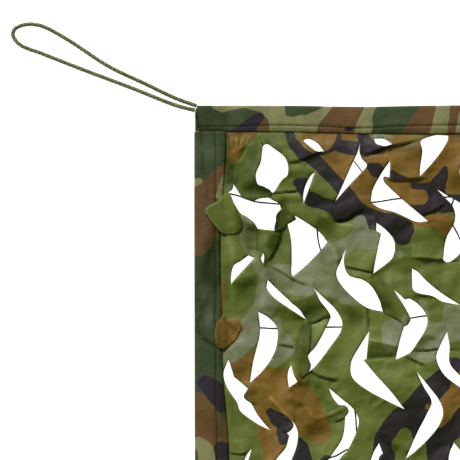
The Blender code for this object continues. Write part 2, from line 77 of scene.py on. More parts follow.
# Gaps of the top left quarter: top tip, end tip, bows of the left and right lip at a quarter, a half
# and three quarters of the way, and how high each lip lifts.
GAPS = (
    # top_x, top_y, end_x, end_y, left 1/4, 1/2, 3/4, right 1/4, 1/2, 3/4, lift left, lift right
    (85, 45.5, 93, 103, -7, -14, -18.5, 18, 22, 12.5, 6, 2),
    (130, 41, 154.5, 54, -1.5, -3, -2.2, 3.8, 3.6, 2.6, 2, 0),
    (214.5, 39.5, 236, 45.5, -5, -5, -3.8, 1.5, 2.2, 1.7, 2, 0),
    (297, 34.5, 269.5, 84, -13.5, -12.3, -6, 9, 5.7, 3, 2, 3),
    (198, 46, 169, 114, 1.5, 1.4, 0.7, 17, 12, 6, 2, -1),
    (143, 80, 130.5, 116, -2.3, -3.8, -3.3, 0.3, 0.1, 0.2, -1, 3),
    (234, 68, 280, 139, -38, -39, -20, -16, -12.5, -7, -1, 6),
    (42, 101, 94, 149, -9.5, -11, -11, 5, 18, 27, 5, 4),
    (118, 132, 117, 204, -5, -2.2, -2.3, 28, 36.5, 18, 3, -1),
    (217.5, 141, 212.5, 200.5, 6.4, 5, 2, 20, 25, 17.5, 6, 0),
    (291, 101, 301, 187, 15.5, 12.5, 0.5, 27, 34, 22, -2, 3),
    (70, 181, 43.5, 213.5, -6.5, -9.5, -8, 1.2, 0.8, 0.4, 0, 4),
    (82, 176.5, 82, 189.5, -1.5, -3, -2, 0.5, 1, 0.8, 0, 1),
    (87, 208, 134, 258, -9.5, -6.5, -2, -2.3, -0.4, 3.6, 3, -2),
    (142.5, 219, 136, 320, 16.6, 14.7, 1.8, 29, 34.3, 18.4, 6, 1),
    (180, 172, 225, 246.5, -23.5, -22, -14.5, -12.9, -1, 4.6, 0, 5),
    (260.5, 195, 316.5, 239, -18.7, -13, -8.6, -1.2, -1.5, 0, 3, 1),
    (236, 218, 241, 304, 12.2, 13, 4.8, 29, 39.5, 27.5, 6, 2),
    (76, 247, 66, 331, 4.4, 4, 1.2, 24, 25.3, 15.8, 2, 2),
    (40.5, 304, 90, 388.5, -20, -17, -13.5, -4, -5, -5, 3, -2),
    (114.5, 311, 113, 337, -2.3, -3.3, -2.8, 1.5, 4.8, 7, -1, 5),
    (117, 379.5, 95, 452, 1, -2.5, -8, 12.6, 12.2, 7.5, 6, 0),
    (209, 270, 250.5, 363, -32, -39, -21, -14.5, -14.5, -6, 1, 4),
    (302, 271, 334, 345, -22.5, -25, -16.5, -5, -12, -4.5, 1, -1),
    (160.5, 339, 152, 430, 22, 23, 16.5, 30.5, 39, 31, 5, 1),
    (265.5, 320, 253, 422.5, 19, 18.5, 8.8, 26.5, 37, 21.7, -2, 3),
    (67.5, 410, 57, 440, -1.5, -3, -2, 1.5, 2.4, 2, 1, 1),
    (220.5, 404, 206, 450, -2.9, -2.8, -2, 7.4, 6.5, 4, 1, 3),
    (310, 403, 314, 468, -7, -9.5, -7, 9, 14, 10, 3, 1),
    (327, 56, 322, 102, -5, -8, -4, 10, 14, 8, 2, 4),
)
GAPS_END = (330.0, 440.0)  # the quarter that the table covers

# The lips of the same gaps as they lie, one row a gap: each lip is a smooth curve from one corner to the
# next, and the last runs on to the first. The last gap of the table above keeps its plain lips.
LIPS = (
    (((80.7, 54), (81.9, 47.8), (87, 46), (94.6, 51.4), (105, 59), (110.5, 67.5), (111.6, 77),
     (110.3, 83.5)),
     ((105.6, 87), (101.5, 92), (95, 102.5)), ((92.9, 104.3), (88.3, 99.8)),
     ((75.6, 95.2), (72.8, 88), (73.4, 80), (78.6, 68), (79.8, 60))),
    (((129.8, 42), (132, 40), (138, 39.8), (146.5, 44.5)), ((154.6, 54.6), (146, 54.3), (138, 49))),
    (((214.8, 39.3), (226, 39.4), (232, 42.5)), ((236, 46), (229, 48.4), (220, 47), (216, 44.5))),
    (((304, 35.5), (303, 41), (292, 58), (278, 75)),
     ((269.3, 84.3), (269.5, 75), (272.3, 54), (270.2, 43), (274, 39.6), (281, 37), (290, 35))),
    (((197.5, 45.5), (197, 55), (200, 63.5), (206, 71), (202, 77), (185, 95)),
     ((168, 114.5), (176, 97), (188.5, 69), (194.5, 56))),
    (((143.5, 79.8), (140, 89), (135.5, 102)), ((130.3, 116.2), (129.7, 108), (132.5, 95.5), (139, 83.5))),
    (((233.5, 66.5), (233.3, 77)), ((232.5, 85.8), (226.2, 85), (226.3, 91), (238, 103.5), (257, 120)),
     ((279, 138.3), (266, 139), (252, 133), (240, 127.5), (222, 122.5)), ((210.5, 116), (213.3, 100),
      (224.5, 79))),
    (((46.5, 93.5), (50, 99.5), (56, 108), (68, 113.7), (78, 110.5)), ((87, 109.5), (94, 114),
     (100.8, 117.5)),
     ((104.5, 129), (99, 128.3), (97, 132), (96.6, 140)), ((95, 149.3), (84, 148.2)),
     ((75.5, 147.2), (70.5, 139.5), (60.5, 131.7), (53.5, 127.5)), ((40.2, 103.5), (44.8, 100))),
    (((119.5, 131.5), (137, 142.3), (150.5, 152.5)), ((158.7, 163.2), (151, 172.5), (134, 190)),
     ((117.3, 204.5), (115.5, 200), (116, 185), (115, 160)), ((111, 142), (116, 138.8), (120.5, 137))),
    (((217.5, 140), (228.5, 148.5), (238, 160), (239.5, 172), (236, 182.5), (227, 191)),
     ((213.5, 201), (214.5, 192), (219, 169)), ((222.5, 154), (219.5, 151), (217, 150))),
    (((290, 100), (304.5, 109), (318, 117), (333, 134), (335, 150), (322, 171), (309, 184.5), (302, 187.3)),
     ((297.3, 184.5), (299.8, 166), (303, 155), (310.5, 141), (312.2, 130), (308.5, 119.5), (300.5, 111))),
    (((64, 179.2),), ((71, 182.3), (62.5, 191.5), (51, 204)), ((43.3, 213.5), (43, 205), (46.5, 191.5),
     (55, 186))),
    (((81.5, 176.3), (82.9, 180)), ((82, 188.7), (79.2, 184))),
    (((87.3, 208.8), (98, 219.5), (115, 235), (125, 243.5)), ((133.5, 256.3), (117.5, 245.5),
     (95.5, 230), (86.2, 219))),
    (((142, 218.5), (152, 228), (168.5, 244), (176.2, 259), (174, 271), (159, 292.5), (145, 311)),
     ((135.2, 319.8), (138.7, 311), (135.3, 300), (144.5, 288), (157, 265)), ((162.3, 253.5),
      (157.5, 243.5), (149, 233))),
    (((180, 172), (178.2, 188), (184, 203), (201, 208.5), (211, 216), (220, 231)),
     ((225, 246.5), (206, 241.5), (187, 227), (172, 209.5), (169.5, 199), (175, 186))),
    (((260.3, 195), (267, 199), (276.5, 209), (294, 223.5)), ((317, 238.5), (297, 234.5), (284, 227.7),
     (262, 221.5), (260, 208))),
    (((235.5, 218.5), (245, 226)), ((251, 232), (257, 231), (270, 240.5), (278, 254), (276, 266),
     (263.5, 288), (257, 296)),
     ((240.3, 304), (244.5, 283)), ((250, 263.5), (254.5, 260.5), (256.8, 254), (249.5, 240))),
    (((76, 247), (87, 253), (97.5, 264), (99, 276), (95, 295), (83, 314.5)),
     ((65.8, 331.8), (70, 305.5), (77, 278), (78, 265))),
    (((40, 303.8), (42.7, 311)), ((46.5, 325), (55, 331.5)), ((63.5, 338.8), (58.5, 347)), ((60, 351),
     (66.5, 355.5), (75, 370.5)),
     ((90, 388.5), (74, 380), (54.5, 365.5), (50.5, 355), (38, 336.5), (34.3, 321))),
    (((115, 310.5), (118, 321)), ((122.3, 330),), ((112.5, 337.3), (111, 326), (112, 317))),
    (((113, 374), (120.5, 383), (123.5, 396), (119, 416), (105, 442)), ((95, 452), (93, 436),
     (97, 423.5), (108.5, 409)),
     ((113, 394.5), (110, 391), (116, 386), (117.7, 382.5))),
    (((208.5, 270.3), (206.8, 287)), ((205.2, 302.8),), ((201.5, 304.2), (213, 318.5), (234, 341.5)),
     ((251, 363.5), (231, 353.5), (204.5, 339), (188, 324.5), (187, 307), (196.5, 289))),
    (((301.8, 270.5), (305, 288), (305.3, 309), (318, 324)), ((334, 345), (318, 337), (298, 321.5),
     (289, 303), (291.5, 292))),
    (((160.3, 338.2), (174, 349.5), (190, 363.5), (196, 377), (190.5, 397), (177, 420)),
     ((152, 434), (165, 416), (176.5, 397)), ((180, 371.5), (183.7, 366), (180, 359), (173, 358),
      (165.5, 350))),
    (((265.5, 318.5), (280, 336), (293.5, 355), (296.3, 370), (286.5, 390), (264, 413.5)),
     ((253, 422.3), (265.5, 394), (278.5, 368), (283.7, 354), (274, 336.5))),
    (((67.5, 410.5), (65.2, 420)), ((57, 440), (58, 430), (61.5, 419))),
    (((220.5, 404), (223.5, 412.5)), ((225, 416), (221.5, 418.7)), ((220.3, 421), (215, 437)),
     ((206, 450), (208, 434), (214, 415))),
    (((310.3, 403.5), (322, 420), (323, 440)), ((314, 468), (304, 442), (304.3, 417))),
)

# The cuts that repeat over the rest of the cloth.
CUTS = (
    # tall, lean, left 1/4, 1/2, 3/4, right 1/4, 1/2, 3/4, lift left, lift right
    (66, 2, -4, -2, -2, 19, 27, 15, 4, 1),
    (74, 38, -19, -18, -12, -5, -3, 1, 0, 5),
    (80, -6, 6, 5, 1, 20, 27, 17, 6, 1),
    (70, 40, -9, -7, -3, 2, 5, 6, 3, -1),
    (62, -22, -10, -12, -7, 3, 5, 4, 2, 4),
    (84, 30, -22, -26, -16, -7, -9, -5, 1, 4),
    (58, 8, -13, -15, -9, 2, 5, 4, -1, 5),
)
REPEAT_WIDE, REPEAT_TALL = 88.0, 46.5  # between cuts in a row, and between staggered rows
REPEAT_SEED = 11
REPEAT_FROM = (62.0, 60.0)
REPEAT_SHIFT = (8.0, 7.0)  # most that a cut lies off its even place
LEAN_SHIFT = 9.0
SMALLER = (1.0, 0.88, 0.76, 0.64, 0.54, 0.44)  # a cut that doesn't fit is tried again at these sizes
CUT_NEAR = 190.0  # cuts farther away than this can't meet
STRIP_LEFT = 7.5  # least cloth left between two gaps
GAP_FROM_STRIP = 3.0
CURVE_PARTS = 24  # straight parts of a smooth curve between two of its places
LIP_STEP = 2.0
CORD_SIDES = 6  # of threads and mesh cords

# The corner loop's way, out of the top left corner and back to it: out to the left and up.
LOOP_WAY = (
    # left, up
    (-2.1, 0.3),
    (24, 9.8),
    (58, 26),
    (104, 48),
    (150, 78),
    (182, 95.5),
    (201, 98.3),
    (216, 93),
    (218.5, 84),
    (209, 73),
    (186, 64),
    (135, 44),
    (75.6, 21.6),
    (24, 1.2),
    (0.4, -5.1),
)
LOOP_Z = LOOP_CORD / 2 + 0.05

# ---------------------------------------------------------------- the view and its light

VIEW_LEFT, VIEW_TOP, VIEW_WIDE = -234.0, -127.2, 552.0  # mm
CAMERA_HIGH, VIEW_PLANE = 2.5, 0.004  # metres, the second is the height at which the view is that wide
SENSOR = 36.0
SUN_FROM = (-0.40, 0.75, 0.50)  # the soft light comes from the top, a little from the left
SUN_STRENGTH, SUN_WIDE = 4.6, 16  # the second is the angle that it fills, in degrees
FILL = 0.24
FLOOR_HALF, FLOOR_Z = 6.0, -0.0005  # metres

# ---------------------------------------------------------------- the garnish cloth's folds

GARNISH_THICK = 0.45
GARNISH_BASE = 6.6  # height above CLOTH_Z between the strips
HIGH_FROM, HIGH_ROOM = 8.0, 11.0  # above the first, heights level off over the second
FOLD_HEIGHT = 1.25
FOLD_ENDS = 0.22  # share of a fold's way over which it rises at each end
FOLD_EDGE = 0.7  # half the width of a tuck's step
LIFT_NEAR = 95.0  # gaps farther away than this lift nothing at a place
LIFT_REACH, LIP_REACH, LIP_SHARE = 15.0, 4.5, 0.35  # broad lift beside a gap, and a sharper one at its lip
FADE_FROM, FADE_OVER = -0.5, 6.0  # folds and lumps come in over this way from a strip's inner edge
BASE_FROM, BASE_OVER = -2.0, 20.0  # and the cloth rises over this one
MESH_SOFT = 1.2  # mm2, how softly heights stay above the mesh
SHADE_BAND_BY, SHADE_BAND_AT, SHADE_BAND_WIDE = 0.18, 7, 8  # painted shade in a band along the left and top strips
PAST_TIP = 0.2  # how far past a gap's tips its lift runs out, as a share of its length
FINE_STEP, COARSE_STEP = 2.8, 7.5  # of the cloth's points, in the charted corner and past it
GAP_STEP = 4.5  # along the lips past the charted corner
EDGE_PARTS = 160  # of each outer edge
SEEN = (336.0, 446.0)  # the charted corner
POINT_SHIFT = 0.18  # most that a point lies off its even place, in steps
EDGE_CLEAR = (1.4, 3.0)  # least distance of points from the edges, in the charted corner and past it
BESIDE_FOLD, BESIDE_CREASE = (-2.4, -0.8, 0.8, 2.4), (-1.8, 0.0, 1.8)  # rows of points beside these
BESIDE_STEP = (2.6, 2.4)  # along those rows, for folds and for creases
BESIDE_CLEAR = (1.3, 0.7)  # least distance of points from the rows, and of the rows from the edges
TONGUE_STEP = (2.0, 2.4)  # along a tongue's outline and between the points inside
TONGUE_CLEAR = 1.1
TONGUE_LIFT = 1.2  # of a tongue above a strip that it lies over
TONGUE_RISE = (16.0, 10.0)  # it rises to that from this far inside the strip's inner edge, over this way
CLOTH_SEED, TONGUE_SEED, FOLDS_SEED, MESH_SEED = 3, 7, 23, 5
# Folds past the charted corner: most turn from the gap's way, length, bend, height, the lower side as a
# share of the higher, and reach.
FOLD_TURN, FOLD_LONG, FOLD_BEND = 1.1, (22, 42), 0.4
FOLD_HIGH, FOLD_LOW, FOLD_REACH = (1.5, 3.5), (-1, -0.8, 0.9), (9, 16)

# Folds. The way along each fold, the height beside it to the left and to the right of that way, and how
# far each runs out. One side high and the other low is a tuck; both high is a ridge.
FOLDS = (
    (((110, 69), (125, 66), (140, 60), (156, 54)), (1.0, -0.8), (12, 12)),
    (((88, 105), (105, 103.5), (126, 102)), (1.2, -1.2), (10, 12)),
    (((198, 59), (215, 55), (232, 48.5), (250, 45), (272, 40)), (1.6, -1.8), (9, 16)),
    (((164, 139), (180, 136), (192, 129), (205, 122)), (1.2, -1.6), (12, 12)),
    (((83, 190), (100, 197), (118, 208), (140, 217)), (1.4, -0.8), (14, 14)),
    (((99, 285), (120, 290)), (1.0, -1.0), (10, 10)),
    (((139, 262), (150, 256.5), (163, 250)), (0.8, -1.0), (14, 16)),
    (((139, 258), (139, 270), (140, 286)), (0.9, -0.8), (12, 8)),
    (((139, 318), (150, 324), (172, 329)), (1.6, -1.4), (14, 14)),
    (((177, 192), (195, 196), (215, 200)), (1.3, -1.4), (14, 12)),
    (((204, 241), (208, 252), (207, 270)), (-1.3, 1.2), (12, 6)),
    (((206, 280), (225, 283), (245, 288)), (1.6, 1.6), (7, 12)),
    (((201, 304), (222, 303), (243, 302)), (-1.6, 0.6), (10, 8)),
    (((258, 182), (290, 184), (320, 186)), (1.3, -1.5), (10, 14)),
    (((256, 292), (275, 293.5), (290, 291), (305, 291), (320, 294)), (0.9, -1.0), (12, 12)),
    (((250, 300), (262, 305), (277, 312)), (0.8, -1.5), (8, 14)),
    (((156, 372), (170, 366), (183, 358)), (1.4, 1.4), (4, 5)),
    (((156, 376), (172, 375), (184, 373)), (0.8, -1.2), (3, 8)),
    (((88, 347), (100, 361), (116, 379)), (1.8, 1.8), (6, 6)),
    (((128, 354), (136, 365), (148, 377)), (1.6, 1.6), (5, 6)),
    (((213, 362), (222, 356), (230, 351)), (1.2, 1.2), (5, 5)),
    (((41, 417), (53, 417.5), (64, 416)), (1.0, -1.4), (9, 9)),
    (((226, 88), (245, 88.5), (262, 87.5), (278, 86)), (1.8, -1.6), (12, 12)),
    (((268, 132), (285, 126), (302, 116)), (1.0, -1.2), (9, 8)),
    (((103, 146), (101, 160), (94, 176), (85, 190)), (-1.3, 1.3), (16, 14)),
    (((262, 226), (285, 229), (312, 240)), (0.5, -1.6), (4, 12)),
    # the bunch of cloth in the corner, a fan of soft folds
    (((42, 34), (43.5, 46), (46, 62)), (1.2, 1.0), (4, 4)),
    (((51, 35), (50.5, 46), (48, 60)), (1.2, 1.0), (3.5, 4)),
    (((60, 35), (56, 46), (50, 58)), (1.2, 1.0), (3.5, 4)),
    (((69, 34), (62, 44), (52, 56)), (1.2, 1.0), (3.5, 4)),
)

# Soft humps and hollows: middle, reach along and across the net, height.
HUMPS = (
    # x, y, reach x, reach y, height
    (52, 48, 20, 18, 4.0),
    (235, 64, 30, 16, 3.0),
    (300, 62, 26, 22, 2.0),
    (128, 240, 24, 14, 3.5),
    (160, 285, 22, 30, 2.5),
    (240, 245, 20, 20, 2.0),
    (228, 330, 34, 22, 2.5),
    (85, 340, 26, 18, 3.0),
    (130, 350, 20, 20, 2.0),
    (60, 385, 18, 26, 2.0),
    (290, 350, 20, 30, 2.0),
    (190, 320, 22, 26, 1.5),
    (60, 220, 18, 24, 2.5),
    (60, 270, 14, 20, 2.0),
    (150, 100, 22, 18, 2.0),
    (275, 215, 26, 14, 2.0),
)

# Places where the cloth slopes: middle, reach along and across the net, and how steeply it falls to the
# right and to the bottom.
SLOPES = (
    # x, y, reach x, reach y, fall right, fall down
    (64, 98, 14, 16, 0.06, 0.18),
    (60, 74, 10, 26, -0.14, -0.06),
    (46, 82, 8, 18, 0.20, 0.14),
    (150, 146, 20, 14, 0.06, 0.20),
    (112, 108, 16, 10, -0.05, -0.22),
    (96, 166, 10, 24, 0.24, 0.10),
    (82, 158, 8, 14, -0.25, -0.05),
    (40, 172, 8, 24, -0.20, -0.05),
    (61, 216, 14, 14, 0.08, 0.15),
    (60, 200, 14, 10, -0.10, -0.12),
    (138, 244, 24, 17, 0.10, 0.26),
    (129, 292, 10, 30, 0.24, 0.12),
    (191, 252, 14, 18, 0.16, 0.12),
    (226, 234, 14, 22, -0.10, 0.22),
    (222, 294, 22, 13, 0.00, 0.22),
    (286, 188, 30, 9, 0.00, 0.22),
    (285, 158, 20, 16, 0.05, 0.16),
    (156, 332, 22, 12, 0.04, 0.20),
    (140, 388, 20, 22, 0.16, 0.20),
    (104, 345, 18, 18, -0.20, -0.18),
    (54, 316, 12, 12, 0.10, 0.22),
    (36, 272, 12, 18, 0.20, 0.14),
    (222, 50, 24, 9, 0.00, 0.22),
    (258, 50, 18, 8, 0.00, 0.22),
    (250, 93, 28, 8, 0.00, 0.22),
    (306, 70, 18, 20, -0.10, -0.22),
    (246, 146, 20, 20, 0.05, 0.16),
    (188, 126, 22, 14, 0.05, 0.20),
    (198, 180, 20, 12, -0.05, -0.20),
    (240, 208, 20, 18, -0.10, -0.18),
    (118, 76, 14, 8, -0.10, -0.25),
    (60, 395, 20, 26, -0.10, -0.18),
    (180, 300, 16, 26, -0.12, -0.08),
    (228, 330, 24, 18, -0.10, -0.12),
    (300, 325, 18, 20, 0.08, 0.12),
)

# Tongues of cloth that lie over the rest: outline, root and tip, height over the cloth at the root and
# at the tip, how much the middle stands above the two sides, and tone, which is painted shade on the tongue.
TONGUES = (
    # corner that hangs over the left strip
    (
        ((40.3, 104), (33, 108), (27, 114.5), (18, 119), (11, 126), (15.5, 133.5), (26, 146), (33, 153),
         (43, 154.5), (52, 152), (56.5, 146), (55, 137), (51, 127.5), (46, 114.5)),
        (50, 132), (14, 130), 0.9, 1.6, 1.2, -0.10,
    ),
    # long leaf beside the first gap
    (
        ((72, 33), (77, 36.5), (81, 44), (80.4, 55), (78.7, 67.5), (73.6, 79.5), (73, 87), (75.6, 94.5),
         (83, 97), (92, 104.2), (88, 109.9), (79, 110.8), (68, 114), (56, 108.5), (50, 99.6), (46.5, 93),
         (50, 81), (54.5, 65), (61.5, 54), (66, 43)),
        (76, 40), (66, 108), 0.9, 1.2, 1.2, -0.42,
    ),
    # twisted knot under it
    (
        ((99, 128.5), (106, 122.5), (114, 127), (121, 135), (116.5, 139), (111, 142.5), (106, 149),
         (95.3, 149.5), (96.6, 138)),
        (112, 130), (98, 146), 0.8, 0.7, 1.2, -0.55,
    ),
    # leaning tongue
    (
        ((206, 209), (221, 208.5), (235.7, 218.5), (242.5, 228), (250.2, 240), (257.3, 254), (254.8, 261.2),
         (250, 263.8), (246, 258.8), (236, 252.5), (225.3, 246.8), (220.3, 231), (211.3, 216)),
        (214, 212), (254, 260), 1.0, 1.0, 1.4, -0.15,
    ),
    # upright flap
    (
        ((131, 259), (138.3, 259), (138.8, 275), (137.3, 290), (135.4, 300), (138.9, 311), (135, 320.3),
         (127.5, 325), (121, 316), (119, 300), (121.8, 281)),
        (135, 262), (128, 322), 0.7, 0.7, 1.2, -0.40,
    ),
    # dark flap above it
    (
        ((113.5, 232.5), (122, 231), (130, 229), (138, 226), (143.3, 220.8), (149.5, 233), (158, 243.5),
         (162.7, 253.8), (153, 254.8), (146, 257.8), (139, 260.6), (133.3, 256), (125, 244), (115, 235.5)),
        (128, 229), (146, 257), 0.8, 0.5, 0.9, -0.45,
    ),
    # rounded tongue into a gap at the bottom
    (
        ((158, 352), (170, 357.3), (180, 358.8), (184, 365.5), (180, 371.9), (172, 378), (158, 379)),
        (162, 366), (183, 366), -0.3, 1.8, 1.2, -0.3,
    ),
    # small pointed tip
    (
        ((68, 333), (63.3, 338.8), (58, 348), (61, 352.5), (66.5, 356), (76, 359), (80, 346)),
        (76, 346), (59, 348), -0.4, 1.4, 0.6, -0.1,
    ),
    # black tip at the bottom left
    (
        ((100, 371), (108, 371.5), (113.4, 374.5), (118, 383), (110, 391.6), (101, 388)),
        (100, 380), (115, 382), -0.4, 1.4, 0.9, -0.2,
    ),
    # bunch that bulges over the left strip
    (
        ((34, 250), (30, 256), (25.5, 262), (23.6, 273), (25, 285), (30, 291.3), (38, 290.5), (45, 284),
         (50, 278.5), (54, 270), (56.6, 265), (52, 257.5), (44, 254.5), (38, 256)),
        (48, 256), (29, 288), 0.6, 0.7, 1.4, -0.2,
    ),
)

# Creases: tone, how far it runs out to each side, and the way along it. A dark one is a trough
# with painted shade along it, and a light one a ridge with a painted highlight.
CREASES = (
    # the bunch in the corner, and under it
    (-0.45, 1.5, (39, 33.5), (55, 32), (72, 33.5)),
    (-0.35, 1.4, (40.5, 36), (41, 48), (41.5, 64)),
    (-0.3, 1.4, (46.5, 38), (47, 48)),
    (-0.3, 1.4, (55.5, 37), (53, 48)),
    (-0.3, 1.4, (64, 38), (58, 48)),
    (-0.5, 1.6, (59, 52), (56, 59), (52, 64)),
    (-0.35, 1.6, (43, 52), (46, 57)),
    (0.35, 1.6, (45, 55), (50, 58), (55, 56)),
    (-0.75, 6, (46, 76), (46, 92)),
    (-0.5, 2.5, (37.5, 44), (38, 66)),
    (-0.55, 4.5, (40, 66), (40, 97)),
    (-0.5, 3, (56, 34), (38, 36)),
    (0.25, 1.4, (50, 70), (47.5, 90)),
    # the long leaf
    (-0.25, 5, (73, 66), (59, 84)),
    (-0.35, 6, (60, 103), (72, 106), (86, 105)),
    (-0.35, 4, (78, 99), (90, 104.5)),
    (0.4, 1.6, (74, 34.5), (79, 41), (80, 48)),
    (0.35, 1.6, (54.5, 67), (61, 57)),
    # right of the first gap
    (-0.5, 4, (88, 44), (97, 49), (104, 56)),
    (-0.3, 5, (84, 37), (98, 37)),
    (0.3, 5, (110, 57), (114, 64)),
    (-0.45, 1.3, (111, 69.5), (122, 66), (134, 62.5), (146, 57.5)),
    (0.15, 4, (113, 74), (140, 73)),
    (-0.3, 3.5, (114, 81), (138, 82)),
    (-0.4, 1.5, (116, 86), (136, 86)),
    (-0.45, 1.6, (108, 102.5), (121, 102.5)),
    (0.3, 2.2, (108, 106.5), (122, 106.5)),
    (-0.35, 5, (108, 115), (128, 116)),
    # the flap over the strip, and right of it
    (0.25, 3.5, (29, 112), (39, 108)),
    (0.12, 6, (32, 135), (44, 140)),
    (-0.4, 2.5, (49, 128), (54, 135), (56, 144), (51, 151)),
    (0.3, 1.5, (14, 127), (19, 136), (28, 146)),
    (0.35, 4, (58, 132), (67, 140)),
    (-0.4, 8, (66, 151), (67, 170)),
    (0.2, 5, (84, 150), (83, 164)),
    (-0.22, 2.5, (73, 150), (75, 172)),
    (-0.4, 8, (104, 150), (94, 180)),
    (-0.45, 2, (64, 170), (74, 172), (82, 176)),
    (-1.0, 1.4, (84.5, 178), (85.5, 186), (85, 193)),
    (0.25, 4, (39, 158), (47, 181)),
    # the knot
    (-0.9, 3, (99, 131), (97, 146)),
    (-0.45, 6, (103, 118), (110, 130)),
    (0.3, 1.8, (108, 131), (117, 137)),
    # between the black band and the square tongue
    (0.45, 1.6, (154, 131), (163, 138), (173, 141.5), (188, 143.5)),
    (-0.6, 2, (163, 136), (166, 138.5)),
    (-0.4, 2.5, (168, 138), (182, 135.5), (198, 124)),
    (-0.4, 8, (152, 142), (162, 156)),
    (-0.5, 1.5, (199, 147.5), (206, 147.5)),
    (-0.3, 1.3, (192, 149.6), (221, 152)),
    (0.3, 2.2, (159, 165), (165, 172), (170, 182)),
    (-0.3, 4, (149, 168), (155, 190)),
    (-0.45, 3, (173, 174), (174, 188)),
    (-0.35, 1.6, (179, 193), (200, 197), (212, 199)),
    (-0.35, 1.8, (199, 106), (211, 106)),
    (-0.25, 4, (200, 114), (210, 116)),
    (-0.4, 5, (236, 51.5), (266, 46)),
    (-0.3, 1.6, (243, 55.5), (269, 50.5)),
    (-0.25, 4, (232, 90), (266, 89.5)),
    (-0.35, 1.6, (282, 138), (309, 141)),
    (-0.35, 7, (245, 172), (257, 176)),
    (0.25, 1.6, (262, 180.5), (296, 184)),
    (-0.35, 4, (262, 186), (294, 189)),
    (0.25, 1.4, (262, 166), (262, 180)),
    (-0.2, 5, (256, 186), (255, 228)),
    (0.15, 5, (228, 200), (252, 208)),
    (-0.4, 6, (224, 212), (229, 219)),
    (-0.4, 3.5, (263, 229), (282, 231)),
    # the left side
    (0.18, 6, (50, 203), (68, 203)),
    (-0.2, 9, (54, 216), (68, 216)),
    (-0.35, 4, (38, 195), (38, 232)),
    (0.2, 4, (82, 203), (81, 238)),
    (-0.4, 1.8, (131, 261), (126, 271), (121, 282)),
    (0.3, 3, (42, 257), (50, 259)),
    (-0.45, 3.5, (28, 262), (29, 286)),
    (0.3, 1.8, (42, 267), (45, 277)),
    (-0.45, 1.5, (35, 256), (41, 262), (45, 266)),
    (-0.35, 1.5, (37.5, 266), (36, 285)),
    (0.35, 2.2, (47, 281), (51, 275), (54, 267)),
    (0.25, 2.5, (40, 292), (54, 282), (60, 272)),
    # the dark flap and beside it
    (-0.35, 2.2, (140, 261), (150, 256.5), (160, 251)),
    (0.3, 3, (144, 263), (155, 260)),
    (-0.35, 2, (139.5, 264), (139.5, 300)),
    (0.2, 3, (125, 290), (123, 312)),
    (-0.35, 3, (112, 288), (117, 289)),
    (-0.25, 8, (186, 246), (194, 262)),
    (-0.4, 2.2, (207, 244), (206, 262)),
    (0.35, 1.5, (203.5, 246), (203, 266)),
    (-0.4, 6, (216, 222), (224, 238), (236, 248)),
    # the tuck above the lower middle gap
    (0.4, 1.6, (207, 280), (225, 283.5), (241, 287)),
    (-0.2, 8, (212, 296), (236, 297)),
    (-0.35, 3.5, (208, 301), (235, 301)),
    (0.3, 1.6, (206, 305.5), (240, 305.5)),
    (-0.4, 2, (262, 292), (280, 293.5), (294, 292)),
    (-0.3, 1.8, (282, 279), (291, 282), (301, 280)),
    (-0.4, 2.2, (254, 299), (265, 307), (275, 313)),
    (-0.35, 1.8, (305, 287), (318, 292)),
    (0.2, 4, (250, 303), (256, 303)),
    # broad light and dark
    (-0.22, 13, (250, 212), (285, 217)),
    (-0.24, 11, (56, 228), (66, 238)),
    (0.18, 13, (272, 276), (300, 282)),
    (0.18, 11, (98, 298), (112, 302)),
    (0.16, 14, (80, 326), (104, 334)),
    (-0.25, 10, (178, 214), (206, 226)),
    (-0.2, 9, (166, 240), (186, 246)),
    (-0.22, 11, (196, 92), (216, 104)),
    (-0.25, 9, (270, 60), (300, 62)),
    (-0.2, 9, (130, 236), (146, 246)),
    (-0.25, 8, (246, 196), (262, 202)),
    (0.14, 12, (214, 320), (250, 330)),
    # the lower part
    (0.4, 1.5, (91, 350), (100, 360), (115, 376)),
    (0.45, 1.6, (133, 362), (139, 371), (146, 376), (154, 371)),
    (-0.35, 3, (112, 338), (120, 346)),
    (-0.3, 3, (102, 289), (115, 289)),
    (-0.45, 2.2, (141, 319), (150, 325), (168, 329)),
    (-0.45, 3, (117, 370), (122, 362), (130, 358)),
    (-0.3, 6, (150, 340), (158, 356)),
    (0.45, 1.4, (157, 371.5), (168, 366), (179, 360)),
    (-0.35, 2.2, (159, 374), (178, 368)),
    (0.4, 1.4, (159, 376.5), (177, 375.5)),
    (-0.45, 2, (160, 380), (176, 379)),
    (-0.35, 7, (140, 392), (156, 392)),
    (-0.4, 2, (309, 360), (318, 356)),
    (-0.45, 1.6, (43, 417.5), (62, 417)),
    (-0.2, 1.6, (48, 412), (60, 412)),
    (-0.4, 1.6, (305, 37.5), (318, 37.5)),
    (-0.4, 1.6, (305, 42.5), (318, 42.5)),
    (-0.5, 4, (226, 400), (240, 412)),
    (-0.35, 5, (240, 414), (256, 418)),
)
CREASE_DEEP = 0.5  # mm of relief for a tone of 1 and a reach of 1
NARROW_CREASE = 2.3  # creases with less reach get rows of points beside them

# ---------------------------------------------------------------- the print

